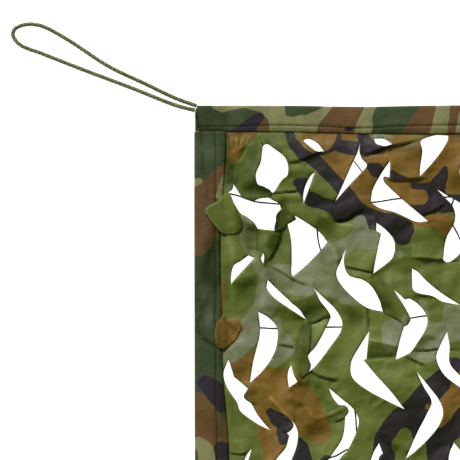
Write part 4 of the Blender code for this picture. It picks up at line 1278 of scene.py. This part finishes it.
def fold_height(way, sides, reach, x, y):
    """Height that one fold adds at many places."""
    points = np.array([tuple(p) for p in even_steps(way, 4.0)])
    runs = np.hypot(*(points[1:] - points[:-1]).T)
    total = runs.sum()
    best = np.full(len(x), 1e9)
    off = np.zeros(len(x))
    at = np.zeros(len(x))
    start = 0.0
    for (xa, ya), (xb, yb), run in zip(points, points[1:], runs):
        dx, dy = (xb - xa) / run, (yb - ya) / run
        t = np.clip((x - xa) * dx + (y - ya) * dy, 0.0, run)
        px, py = x - xa - dx * t, y - ya - dy * t
        away = np.hypot(px, py)
        closer = away < best
        best = np.where(closer, away, best)
        off = np.where(closer, np.copysign(away, -dy * px + dx * py), off)
        at = np.where(closer, start + t, at)
        start += run
    ends = smooth(at / (FOLD_ENDS * total)) * smooth((total - at) / (FOLD_ENDS * total))
    left = sides[0] * np.clip(1 + off / reach[0], 0, 1) ** 2
    right = sides[1] * np.clip(1 - off / reach[1], 0, 1) ** 2
    swing = smooth((off + FOLD_EDGE) / (2 * FOLD_EDGE))
    left = np.where(off < 0, left, sides[0])
    right = np.where(off > 0, right, sides[1])
    return ends * (left * (1 - swing) + right * swing)


def folds_height(folds, x, y):
    z = np.zeros(len(x))
    for way, sides, reach in folds:
        near = near_box(x, y, way, max(reach))
        if len(near):
            z[near] += fold_height(way, sides, reach, x[near], y[near])
    return z


def slopes_height(slopes, x, y):
    z = np.zeros(len(x))
    for hx, hy, wide, tall, right, down in slopes:
        z -= (right * (x - hx) + down * (y - hy)) * bell(x - hx, y - hy, wide, tall)
    return z


def crease_tone(creases, x, y, per_reach=False):
    """Sum of the creases' tones at many places, which are painted shade and highlight, or of tone times
    reach, for their relief.
    """
    total = np.zeros(len(x))
    for tone, reach, *way in creases:
        near = near_box(x, y, way, 3 * reach)
        nx, ny = x[near], y[near]
        away = np.full(len(near), 1e9)
        for (xa, ya), (xb, yb) in zip(way, way[1:]):
            dx, dy = xb - xa, yb - ya
            t = np.clip(((nx - xa) * dx + (ny - ya) * dy) / (dx * dx + dy * dy), 0.0, 1.0)
            away = np.minimum(away, np.hypot(nx - xa - dx * t, ny - ya - dy * t))
        total[near] += tone * (reach if per_reach else 1.0) * np.exp(-((away / reach) ** 2))
    return total


def scattered_folds(gaps):
    """Folds that run on from the tips of the gaps past the charted corner."""
    rng = random.Random(FOLDS_SEED)
    made = []
    for gap in gaps[len(GAPS):]:
        for tip, way in ((gap.top, -1), (gap.end, 1)):
            turn = math.atan2(gap.along[1] * way, gap.along[0] * way) + rng.uniform(-FOLD_TURN, FOLD_TURN)
            long = rng.uniform(*FOLD_LONG)
            bend = rng.uniform(-FOLD_BEND, FOLD_BEND)
            x, y = tip[0] - 4 * math.cos(turn), tip[1] - 4 * math.sin(turn)
            points = [(x, y)]
            for part in (1, 2):
                x += long / 2 * math.cos(turn + bend * part)
                y += long / 2 * math.sin(turn + bend * part)
                points.append((x, y))
            if x < SEEN[0] and y < SEEN[1]:
                continue
            high = rng.uniform(*FOLD_HIGH)
            low = rng.choice(FOLD_LOW) * high
            made.append((tuple(points), (high, low), (rng.uniform(*FOLD_REACH), rng.uniform(*FOLD_REACH))))
    return made


def cloth_heights(x, y, gaps, folds):
    """Middle of the cloth above the floor at many places, in mm."""
    z = np.zeros(len(x))
    for gap in gaps:
        near = near_box(x, y, [gap.mid], LIFT_NEAR)
        if len(near):
            z[near] += gap.lift(x[near], y[near], LIFT_REACH)
            z[near] += LIP_SHARE * gap.lift(x[near], y[near], LIP_REACH)
    z += FOLD_HEIGHT * folds_height(folds, x, y)
    for hx, hy, wide, tall, high in HUMPS:
        z += high * bell(x - hx, y - hy, wide, tall)
    z += slopes_height(SLOPES, x, y)
    z += CREASE_DEEP * crease_tone(CREASES, x, y, True)
    # crumple: broad, sharp ridges, sharp furrows and fine
    z += 1.8 * noise_rows(x, y, 46, 38, 0.3)
    z += 2.8 * np.abs(noise_rows(x + 0.4 * y, y - 0.3 * x, 34, 26, 2.3)) - 0.6
    z -= 1.2 * np.abs(noise_rows(x - 0.5 * y, y + 0.4 * x, 18, 15, 6.3)) - 0.2
    z += 0.12 * noise_rows(x, y, 7, 5, 9.3)
    from_strip = inner_edge_distance(x, y)
    z *= smooth((from_strip - FADE_FROM) / FADE_OVER)
    z += GARNISH_BASE * smooth((from_strip - BASE_FROM) / BASE_OVER)
    z = 0.5 * (z + np.sqrt(z * z + MESH_SOFT))  # never below the mesh
    over = np.tanh((z - HIGH_FROM) / HIGH_ROOM)
    return CLOTH_Z + np.where(z > HIGH_FROM, HIGH_FROM + HIGH_ROOM * over, z)


def grid_points(box, step, rng):
    """Staggered points that fill a box, slightly uneven."""
    made = []
    for r in range(int((box[3] - box[1]) / (step * 0.87)) + 1):
        y = box[1] + r * step * 0.87
        for c in range(int((box[2] - box[0]) / step) + 1):
            x = box[0] + (c + 0.5 * (r % 2)) * step
            shift_x, shift_y = (rng.uniform(-POINT_SHIFT, POINT_SHIFT) * step for _ in range(2))
            made.append((x + shift_x, y + shift_y))
    return made


def rows_beside(way, step, offs):
    """Rows of points at the given distances beside a way."""
    points = even_steps(way, step)
    made = []
    for a, b in zip(points, points[1:]):
        ahead = (b - a).normalized()
        made += [(a.x - ahead.y * off, a.y + ahead.x * off) for off in offs]
    return made


def filled(edge, holes, points):
    """Triangles inside the edge, outside the holes and over the points: points in mm and index triples."""
    flat, sides = [], []
    for ring in (edge, *holes):
        first = len(flat)
        flat += [Vector(p) for p in ring]
        sides += [(first + k, first + (k + 1) % len(ring)) for k in range(len(ring))]
    flat += [Vector(p) for p in points]
    where, _, faces, *_ = delaunay_2d_cdt(flat, sides, [], 0, 1e-5, False)
    xy = np.array([(v.x, v.y) for v in where])
    tri = np.array([f for f in faces if len(f) == 3])
    x, y = xy[tri].mean(axis=1).T
    ok = inside(edge, x, y)
    for ring in holes:
        near = near_box(x, y, ring, 0.0)
        ok[near] &= ~inside(ring, x[near], y[near])
    tri = tri[ok]
    used = np.unique(tri)
    new = np.full(len(xy), -1)
    new[used] = np.arange(len(used))
    return xy[used], new[tri]


def tongue_sheets(gaps, folds):
    """The tongues as their own small sheets: points in mm, triangles and tones, which are painted shade."""
    all_xyz, all_tri, tones = [], [], []
    count = 0
    rng = random.Random(TONGUE_SEED)
    for rows, root, tip, low, high, bow, tone in TONGUES:
        ring = closed_steps(rows, TONGUE_STEP[0])
        xs, ys = zip(*ring)
        loose = grid_points((min(xs), min(ys), max(xs), max(ys)), TONGUE_STEP[1], rng)
        keep = inside(ring, *np.array(loose).T)
        tree = tree_of(ring)
        loose = [p for p, ok in zip(loose, keep) if ok and clear_of(tree, p) > TONGUE_CLEAR]
        xy, tri = filled(ring, (), loose)
        x, y = xy.T
        dx, dy = tip[0] - root[0], tip[1] - root[1]
        long = math.hypot(dx, dy)
        dx, dy = dx / long, dy / long
        t = np.clip(((x - root[0]) * dx + (y - root[1]) * dy) / long, -0.3, 1.2)
        across = -(x - root[0]) * dy + (y - root[1]) * dx
        half = max(np.abs(across).max(), 1.0)
        z = cloth_heights(x, y, gaps, folds)
        over_strip = smooth((TONGUE_RISE[0] - inner_edge_distance(x, y)) / TONGUE_RISE[1])
        z = np.maximum(z, over_strip * (STRIP_THICK + TONGUE_LIFT))
        z += low + (high - low) * np.maximum(t, 0.0) ** 1.2 + bow * (1 - (across / half) ** 2) - 0.4 * bow
        all_xyz.append(np.column_stack([x, y, z]))
        all_tri.append(tri + count)
        tones.append(np.full(len(x), tone))
        count += len(x)
    return np.vstack(all_xyz), np.vstack(all_tri), np.concatenate(tones)


def garnish_rings(gaps):
    """The cloth's edge, just inside the strips' outer edges, and the outlines of its gaps."""
    low, high = CORNER_CUT[1] + 1.5, SIDE - CORNER_CUT[1] - 1.5
    ends = [low + (high - low) * k / EDGE_PARTS for k in range(EDGE_PARTS)]
    edge = [(v, strip_outer("top", v) + CLOTH_INSET) for v in ends]
    edge += [(SIDE - strip_outer("right", v) - CLOTH_INSET, v) for v in ends]
    edge += [(SIDE - v, SIDE - strip_outer("bottom", SIDE - v) - CLOTH_INSET) for v in ends]
    edge += [(strip_outer("left", SIDE - v) + CLOTH_INSET, SIDE - v) for v in ends]
    holes = [lip_ring(lips) for lips in LIPS]
    return edge, holes + [gap.fine_outline(GAP_STEP) for gap in gaps[len(LIPS):]]


def garnish_points(edge, holes):
    """The loose points of the cloth: a fine grid in the charted corner and a coarse one past it, with rows
    of points close beside each fold and narrow crease, so that these stay crisp."""
    rng = random.Random(CLOTH_SEED)
    corner = (CLOTH_INSET, CLOTH_INSET)
    loose = grid_points((*corner, *SEEN), FINE_STEP, rng)
    coarse = grid_points((*corner, SIDE - CLOTH_INSET, SIDE - CLOTH_INSET), COARSE_STEP, rng)
    loose += [p for p in coarse if p[0] > SEEN[0] or p[1] > SEEN[1]]
    x, y = np.array(loose).T
    keep = inside(edge, x, y)
    spare = np.where((x < SEEN[0]) & (y < SEEN[1]), *EDGE_CLEAR)
    beside = []
    for way, _, _ in FOLDS:
        beside += rows_beside(way, BESIDE_STEP[0], BESIDE_FOLD)
    for _, reach, *way in CREASES:
        if reach < NARROW_CREASE:
            beside += rows_beside(way, BESIDE_STEP[1], BESIDE_CREASE)
    tree = tree_of([p for ring in (edge, *holes) for p in ring])
    close = tree_of(beside)
    chosen = [
        p
        for p, ok, gap in zip(loose, keep, spare)
        if ok and clear_of(tree, p) > gap and clear_of(close, p) > BESIDE_CLEAR[0]
    ]
    return chosen + [p for p in beside if clear_of(tree, p) > BESIDE_CLEAR[1]]


def garnish(gaps):
    folds = list(FOLDS) + scattered_folds(gaps)
    edge, holes = garnish_rings(gaps)
    xy, tri = filled(edge, holes, garnish_points(edge, holes))
    xyz = np.column_stack([xy, cloth_heights(*xy.T, gaps, folds)])
    more, more_tri, more_tone = tongue_sheets(gaps, folds)
    # the tongues' tones are painted shade
    tone = np.concatenate([np.zeros(len(xyz)), more_tone])
    tri = np.vstack([tri, more_tri + len(xyz)])
    x, y, z = np.vstack([xyz, more]).T
    # faces wind the other way round because y runs down in the tables
    verts = np.column_stack([(x - SIDE / 2) * MM, (SIDE / 2 - y) * MM, z * MM])
    ob = mesh_object("garnish", verts, [tuple(int(v) for v in t[::-1]) for t in tri])
    scattered = scattered_patches(CLOTH_PRINT_SEED, CLOTH_PATCHES, CLOTH_MIX, (0, 0, SIDE, SIDE), GAPS_END)
    fields = print_fields(scattered + PATCHES, x, y, (GREY, BROWN, BLACK), CLOTH_WAVER)
    strip_side = np.minimum(x - strip_width_row("left", y), y - strip_width_row("top", x))
    # painted shade in a band beside the left and top strips
    tone -= SHADE_BAND_BY * np.exp(-(((strip_side - SHADE_BAND_AT) / SHADE_BAND_WIDE) ** 2))
    mat = print_material("garnish_print", FIELD_COLOURS, 0.5, 0.86, 1.12, 0.6)
    # the tone: painted shade and highlight of the tongues, of the band beside the strips and of the creases
    finish_cloth(ob, tone + crease_tone(CREASES, x, y), fields, mat)
    body = ob.modifiers.new("thickness", "SOLIDIFY")
    body.thickness = GARNISH_THICK * MM
    body.offset = 0.0
    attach(ob, "root")
    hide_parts("garnish_cloth")


# ---------------------------------------------------------------- edge strips

# Folds, creases and slopes of the strips, as in the garnish cloth's tables. The creases' tones are painted
# shade and highlight.
STRIP_FOLDS = (
    (((17, 212), (9, 236), (4.5, 258), (6, 271), (12, 280), (26, 290)), (1.6, -0.7), (11, 4)),
    (((26, 212), (24, 235), (24, 262)), (-0.8, 0.8), (5, 9)),
    (((4, 100), (14, 110), (26, 112)), (0.5, -0.6), (8, 8)),
    (((28, 118), (30, 160), (29, 208)), (-1.2, 0.6), (4, 10)),
    (((178, 29), (184, 24), (192, 29)), (0.8, 0.8), (4, 4)),
)
STRIP_CREASES = (
    # painted shadow of the tongue that hangs over the left strip
    (-0.7, 3.5, (27, 150), (38, 158)),
    (0.2, 11, (17, 52), (27, 66)),
    (-0.2, 10, (16, 14), (34, 16)),
    (0.16, 11, (172, 15), (186, 13)),
    (-0.2, 12, (8, 376), (24, 388)),
    (-0.18, 9, (30, 340), (32, 420)),
    (-0.35, 1.6, (8.5, 55), (8.5, 80)),
    (-0.45, 2.0, (36, 44), (36, 70)),
    (-0.35, 6, (23, 146), (24, 160)),
    (-0.6, 9, (20, 170), (17, 208)),
    (-0.5, 5, (28, 208), (22, 222)),
    (-0.7, 2.2, (30, 163), (30, 213)),
    (0.35, 6, (18, 224), (16, 240), (17, 262)),
    (-0.9, 1.5, (10, 237), (6, 250), (3.5, 260), (5, 273), (11, 280), (19, 285), (28, 290)),
    (-0.3, 4, (2, 215), (1, 245)),
    (-0.25, 1.2, (15, 85), (15, 120)),
    (-0.35, 3, (37, 10), (37, 21)),
    (0.2, 8, (50, 10), (58, 18)),
    # painted shade in the tuck of the top strip's lower fold
    (-0.9, 1.5, (182, 27.5), (189, 27.5)),
    (-0.2, 4, (95, 30), (150, 31)),
    (-0.2, 4, (215, 31), (300, 31)),
    (-0.25, 4, (4, 27), (36, 30)),
    (-0.5, 1.3, (3, 27.5), (34, 28)),
    (-0.2, 4, (31, 300), (34, 420)),
)
STRIP_SLOPES = (
    (19, 188, 12, 34, 0.22, 0.12),
    (12, 235, 8, 16, 0.10, 0.20),
    (20, 56, 14, 14, -0.05, -0.08),
    (8, 85, 6, 26, 0.08, 0.02),
    (60, 14, 12, 12, 0.05, 0.10),
    (240, 30, 30, 9, 0.0, 0.16),
)

# Distance of each line of stitches from the outer edge, every 50 mm along it.
STITCH_IN = {
    "top": (24.5, 24.5, 22.9, 24.2, 26.4, 24, 22.8, 22.8, 24, 25, 24, 23, 24, 25, 24, 23, 23, 24, 25, 24, 24),
    "bottom": (24, 25, 24, 23, 23, 24, 25, 26, 25, 24, 23, 23, 24, 25, 24, 23, 24, 25, 25, 24, 24),
    "left": (25, 25, 25, 24, 24, 24, 25, 25, 26, 27, 26, 25, 24, 24, 25, 26, 25, 24, 24, 25, 25),
    "right": (25, 25, 24, 25, 26, 25, 24, 24, 25, 26, 25, 24, 24, 25, 25, 24, 25, 26, 25, 25, 25),
}
STRIP_LAYER = 0.75
STRIP_STEP = 2.5
STRIP_FLOOR = 0.02  # height of the under side
STRIP_ROUND = 1.8  # radius of the fold at the outer edge
STRIP_LEAST = 3.1  # least height of the upper face
UNDER_LEAST = 2.25  # and of the cloth's face under it
STRIP_RISE = 0.6  # of the upper face above STRIP_THICK
SEAM_DEEP, SEAM_WIDE, SEAM_DIM = 0.7, 1.1, 0.8  # how deep the stitches draw in, reach, and reach of the painted shade along them
PUCKER_HIGH, PUCKER_WIDE, PUCKER_LONG = 0.45, 6.0, 6.0
INNER_FALL, INNER_OVER = 0.55, 5.0  # the upper face falls towards the inner edge
STRIP_CREASE_DEEP = 0.3
SEAM_ROWS = (-2.2, -0.9, 0.0, 0.9, 2.2)  # rows of points beside the stitches

# The rows of points round a strip's section: kind, and share of the way across that kind's part, or for
# the seam the distance from the stitches.
STRIP_ROWS = (
    *(("low", share) for share in (1.0, 0.6, 0.25)),
    *(("fold", k / 6) for k in range(7)),
    *(("outer", k / 8) for k in range(1, 8)),
    *(("seam", off) for off in SEAM_ROWS),
    *(("inner", share) for share in (0.35, 0.7, 1.0)),
    *(("under", share) for share in (1.0, 0.66, 0.33, 0.08)),
    *(("floor", share) for share in (0.08, 0.5, 1.0)),
)


def stitch_row(name, along):
    return through_many(STITCH_IN[name], along / SIDE)


def strip_place(name, along, inward):
    """Where a place on a strip lies on the net, from its way along the strip and in from the outer edge."""
    spot = SIDE - inward if name in ("bottom", "right") else inward
    return (along, spot) if name in ("top", "bottom") else (spot, along)


def strip_top(name, along, inward):
    """Height of a strip's upper face at many places."""
    x, y = strip_place(name, along, inward)
    z = np.full(len(along), STRIP_THICK + STRIP_RISE)
    z += 0.5 * noise_rows(x, y, 34, 34, 12.0) + 0.22 * noise_rows(x, y, 9, 9, 15.0)
    from_seam = inward - stitch_row(name, along)
    puckers = noise_rows(along, inward * 0, PUCKER_LONG, 9, 17.0)
    z += PUCKER_HIGH * np.exp(-((from_seam / PUCKER_WIDE) ** 2)) * puckers
    z -= SEAM_DEEP * np.exp(-((from_seam / SEAM_WIDE) ** 2))
    z += folds_height(STRIP_FOLDS, x, y) + slopes_height(STRIP_SLOPES, x, y)
    to_inner = strip_width_row(name, along) - inward
    z += STRIP_CREASE_DEEP * crease_tone(STRIP_CREASES, x, y, True)
    z -= INNER_FALL * smooth((INNER_OVER - to_inner) / INNER_OVER)
    return np.maximum(z, STRIP_LEAST)


def row_inward(kind, share, out, seam, wide):
    """How far in a row of points lies from the net's outer line."""
    if kind == "fold":
        return out + STRIP_ROUND * (1 - math.sin(math.pi * share))
    if kind == "seam":
        return seam + share
    if kind == "inner":
        return seam + SEAM_ROWS[-1] + (wide - seam - SEAM_ROWS[-1]) * share
    across = seam + SEAM_ROWS[0] if kind == "outer" else wide
    return out + STRIP_ROUND + (across - out - STRIP_ROUND) * share


def row_height(kind, share, top):
    if kind == "low":
        return STRIP_FLOOR
    if kind == "fold":
        return STRIP_FLOOR + (top - STRIP_FLOOR) * (0.5 - 0.5 * math.cos(math.pi * share))
    if kind == "under":
        return max(top - STRIP_LAYER, UNDER_LEAST)
    return STRIP_LAYER if kind == "floor" else top


def strip_stations(name):
    """The places along a strip where its section is set out."""
    if name in ("top", "bottom"):
        count = round(SIDE / STRIP_STEP)
        return [0.0, CORNER_CUT[0], *(SIDE * k / count for k in range(1, count)), SIDE - CORNER_CUT[0], SIDE]
    column = 0 if name == "left" else SIDE
    start = strip_width("top", column) + 0.5
    end = SIDE - strip_width("bottom", column) - 0.5
    count = round((end - start) / STRIP_STEP)
    return [start + (end - start) * k / count for k in range(count + 1)]


def strip_sheet(name, mat, patches):
    stations = strip_stations(name)
    cut_ends = (0.0, SIDE) if name in ("top", "bottom") else ()
    inward = []
    for at in stations:
        out = CORNER_CUT[1] if at in cut_ends else strip_outer(name, at)
        seam, wide = through(STITCH_IN[name], at / SIDE), strip_width(name, at)
        inward += [row_inward(kind, share, out, seam, wide) for kind, share in STRIP_ROWS]
    along, inward = np.repeat(stations, len(STRIP_ROWS)), np.array(inward)
    x, y = strip_place(name, along, inward)
    top = strip_top(name, along, inward)
    z = [row_height(*row, high) for row, high in zip(STRIP_ROWS * len(stations), top)]
    faces = []
    tube_faces(faces, 0, len(stations), len(STRIP_ROWS))
    ob = mesh_object(name + "_hem", [place(*p) for p in zip(x, y, z)], faces)
    shape = bmesh.new()
    shape.from_mesh(ob.data)
    bmesh.ops.recalc_face_normals(shape, faces=shape.faces)
    shape.to_mesh(ob.data)
    shape.free()
    # painted shade in the furrow along the stitches, of uneven strength
    seam_shade_strength = 0.4 + 0.4 * noise_rows(along, inward * 0, 22, 9, 31.0)
    seam_shade = seam_shade_strength * np.exp(-(((inward - stitch_row(name, along)) / SEAM_DIM) ** 2))
    if name == "left":
        seam_shade *= smooth((along - 80) / 50)  # less painted shade at the top
    fields = print_fields(patches, x, y, (KHAKI, RUST, BLACK), STRIP_WAVER)
    # the strip creases' tones are painted shade and highlight, and the seam gets painted shade
    finish_cloth(ob, crease_tone(STRIP_CREASES, x, y) - seam_shade, fields, mat)
    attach(ob, "root")
    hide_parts(name + "_strip")


def capsule(verts, faces, a, b, radius):
    """Adds a short thread from a to b with rounded ends."""
    ahead = (b - a).normalized()
    side = ahead.cross(Vector((0, 0, 1)))
    if side.length < 0.1:
        side = Vector((1, 0, 0))
    side.normalize()
    up = side.cross(ahead)
    rings = ((a, 0.5), (a + ahead * radius, 1.0), (b - ahead * radius, 1.0), (b, 0.5))
    tube_faces(faces, len(verts), len(rings), CORD_SIDES)
    for middle, share in rings:
        verts += cord_ring(middle, side, up, radius * share)


STITCH_LONG, STITCH_PITCH, THREAD = 2.7, 3.3, 0.42
STITCH_UP = 0.12  # a thread's middle above the cloth
STITCH_FROM = {"top": 5.0, "bottom": 5.0, "left": 33.0, "right": 33.0}

# Bar tacks at the corner: how many stitches, start of the first, step to the next, way of each, height
# and radius of the thread.
TACKS = (
    (9, (4.9, 29.5), (0.0, 1.7), (3.7, 0.9), 4.2, 0.33),
    (12, (4.5, 27.7), (3.0, 0.0), (2.2, 0.2), 3.9, 0.3),
)


def stitches():
    verts, faces = [], []
    for name, start in STITCH_FROM.items():
        count = int((SIDE - start - start) / STITCH_PITCH)
        at = np.array([start + k * STITCH_PITCH + part for k in range(count) for part in (0.0, STITCH_LONG)])
        inward = np.array([through(STITCH_IN[name], v / SIDE) for v in at])
        z = strip_top(name, at, inward) + STITCH_UP
        ends = [place(*p) for p in zip(*strip_place(name, at, inward), z)]
        for a, b in zip(ends[::2], ends[1::2]):
            capsule(verts, faces, a, b, THREAD * MM)
    ob = mesh_object("hem_stitches", verts, faces)
    olive_thread = thread_material("thread", (0.012, 0.014, 0.007), (0.034, 0.034, 0.016), 0.7, 500.0)
    ob.data.materials.append(olive_thread)
    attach(ob, "root")
    verts, faces = [], []
    for count, (x, y), (step_x, step_y), (dx, dy), z, radius in TACKS:
        for k in range(count):
            a = (x + k * step_x, y + k * step_y)
            capsule(verts, faces, place(*a, z), place(a[0] + dx, a[1] + dy, z), radius * MM)
    tack = mesh_object("corner_tack", verts, faces)
    brown_thread = thread_material("tack_thread", (0.060, 0.030, 0.012), (0.120, 0.060, 0.022), 0.6, 500.0)
    tack.data.materials.append(brown_thread)
    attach(tack, "root")


# ---------------------------------------------------------------- cord mesh

MESH_CORD = 1.9
MESH_MARGIN = 32.0  # of the even mesh, from the outer edge
MESH_BORDER = 33.5  # where its cords end, in the strips
KNOT_SHIFT = 9.0  # most that a knot lies off its even place
KNOT_HALF, KNOT_CORD = 1.5, 0.8  # half the length of a knot's turn, and radius of its cord
STRAND_SHIFT, STRAND_SAG = 3.0, 5.0
KNOTS = (
    # column, row, x, y
    (0, 1, 0, 103),
    (1, 0, 150, 0),
    (1, 1, 143, 118),
    (2, 1, 312, 108.5),
    (1, 2, 184, 264.5),
    (2, 2, 325, 250),
    (0, 2, 0, 268),
    (1, 3, 198, 408),
    (2, 3, 338, 398),
)
# The way of each strand in the charted corner: the knots it joins and the places that it passes.
STRANDS = {
    ((0, 1), (1, 1)): ((40.5, 105.2), (52, 107.5), (62, 111.5), (75, 115.3), (90, 116.6), (100, 117.5)),
    ((1, 0), (1, 1)): ((161, 60), (152, 85)),
    ((1, 1), (2, 1)): ((178, 117), (212, 115.8), (246, 111), (299, 109.5)),
    ((2, 0), (2, 1)): ((309, 70),),
    ((2, 1), (2, 2)): ((308, 120), (306.5, 130), (309, 141), (318, 159), (331, 200)),
    ((1, 1), (1, 2)): ((147, 150), (147.3, 158), (150.8, 173), (160, 200), (172, 232)),
    ((0, 2), (1, 2)): ((78, 266.4), (98, 267.2), (158, 265.6), (176, 265.2)),
    ((1, 2), (2, 2)): ((215, 262), (256, 255.2), (277, 252)),
    ((1, 2), (1, 3)): ((181, 290), (178, 318), (186, 345), (191.8, 364.5), (193.5, 380), (194, 390)),
    ((0, 3), (1, 3)): ((120, 438), (161.5, 422.5), (170, 420), (181, 413.5)),
    ((1, 3), (2, 3)): ((212, 400), (222, 398), (240, 404), (246, 424), (262, 430), (290, 420), (301, 401)),
}

# Loose ends of cord: their ways over the cells.
SPARE_ENDS = (
    ((163, 34), (178, 48), (190, 65), (199.6, 77.5), (206, 90), (200, 106), (184, 116)),
    ((198, 408), (184, 414.5), (174, 425), (160, 446)),
)
SPARE_CORD = 0.65


def tube(verts, faces, way, radius):
    """Adds a cord along the way."""
    tube_faces(faces, len(verts), len(way), CORD_SIDES)
    up = Vector((0, 0, 1))
    for k, here in enumerate(way):
        ahead = (way[min(k + 1, len(way) - 1)] - way[max(k - 1, 0)]).normalized()
        verts += cord_ring(here, ahead.cross(up).normalized(), up, radius)


def mesh_knots(rng):
    """The knots' places: even ones, a little shifted, but for the charted ones and the border."""
    n = MESH_CELLS
    charted = {(c, r): (x, y) for c, r, x, y in KNOTS}
    knots = {}
    for c in range(n + 1):
        for r in range(n + 1):
            x, y = (MESH_MARGIN + (SIDE - 2 * MESH_MARGIN) * k / n for k in (c, r))
            x += rng.uniform(-KNOT_SHIFT, KNOT_SHIFT) if 0 < c < n else 0
            y += rng.uniform(-KNOT_SHIFT, KNOT_SHIFT) if 0 < r < n else 0
            x, y = charted.get((c, r), (x, y))
            border = {0: MESH_BORDER, n: SIDE - MESH_BORDER}
            knots[c, r] = (border.get(c, x), border.get(r, y))
    return knots


def cord_net():
    rng = random.Random(MESH_SEED)
    n = MESH_CELLS
    knots = mesh_knots(rng)
    verts, faces = [], []
    high = MESH_CORD / 2 + 0.05
    for (c, r), a in knots.items():
        for other in ((c + 1, r), (c, r + 1)):
            on_border = (c == other[0] and c in (0, n)) or (r == other[1] and r in (0, n))
            if max(other) > n or on_border:
                continue
            b = knots[other]
            between = STRANDS.get(((c, r), other))
            if between is None:
                x = (a[0] + b[0]) / 2 + rng.uniform(-STRAND_SHIFT, STRAND_SHIFT)
                between = ((x, (a[1] + b[1]) / 2 + rng.uniform(0, STRAND_SAG)),)
            way = even_steps([a, *between, b], 6.0)
            tube(verts, faces, [place(p.x, p.y, high) for p in way], MESH_CORD / 2 * MM)
        if 0 < c < n and 0 < r < n:
            for turn in range(3):
                angle = turn * 1.1 + c + r
                dx, dy = KNOT_HALF * math.cos(angle), KNOT_HALF * math.sin(angle)
                ends = [place(a[0] + way * dx, a[1] + way * dy, high + 0.5) for way in (-1, 1)]
                capsule(verts, faces, *ends, KNOT_CORD * MM)
    for way in SPARE_ENDS:
        tube(verts, faces, [place(p.x, p.y, high) for p in even_steps(way, 5.0)], SPARE_CORD * MM)
    ob = mesh_object("cord_net", verts, faces)
    black_cord = thread_material("black_cord", (0.002, 0.002, 0.002), (0.006, 0.006, 0.005), 0.7, 700.0)
    ob.data.materials.append(black_cord)
    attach(ob, "root")
    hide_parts("cord_mesh")


# ---------------------------------------------------------------- putting it together

# Each strip's charted print, the box that scattered patches fill, and the corner that they keep out of.
STRIP_PRINTS = (
    ("top", TOP_PATCHES, (340, -10, SIDE, 50), (335, 60)),
    ("left", LEFT_PATCHES, (-10, 440, 50, SIDE), (60, 430)),
    ("bottom", (), (0, SIDE - 50, SIDE, SIDE + 10), (0, 0)),
    ("right", (), (SIDE - 50, 0, SIDE + 10, SIDE), (0, 0)),
)

camera()
corner_loops()
studio()
gaps = all_gaps()
cord_net()
garnish(gaps)
strip_print = print_material("strip_print", STRIP_COLOURS, 0.72, 0.84, 1.14, 0.8)
for k, (side, charted, box, keep_out) in enumerate(STRIP_PRINTS):
    scattered = scattered_patches(STRIP_PRINT_SEED + k, STRIP_PATCHES, STRIP_MIX, box, keep_out)
    strip_sheet(side, strip_print, scattered + charted)
stitches()

bpy.context.view_layer.update()
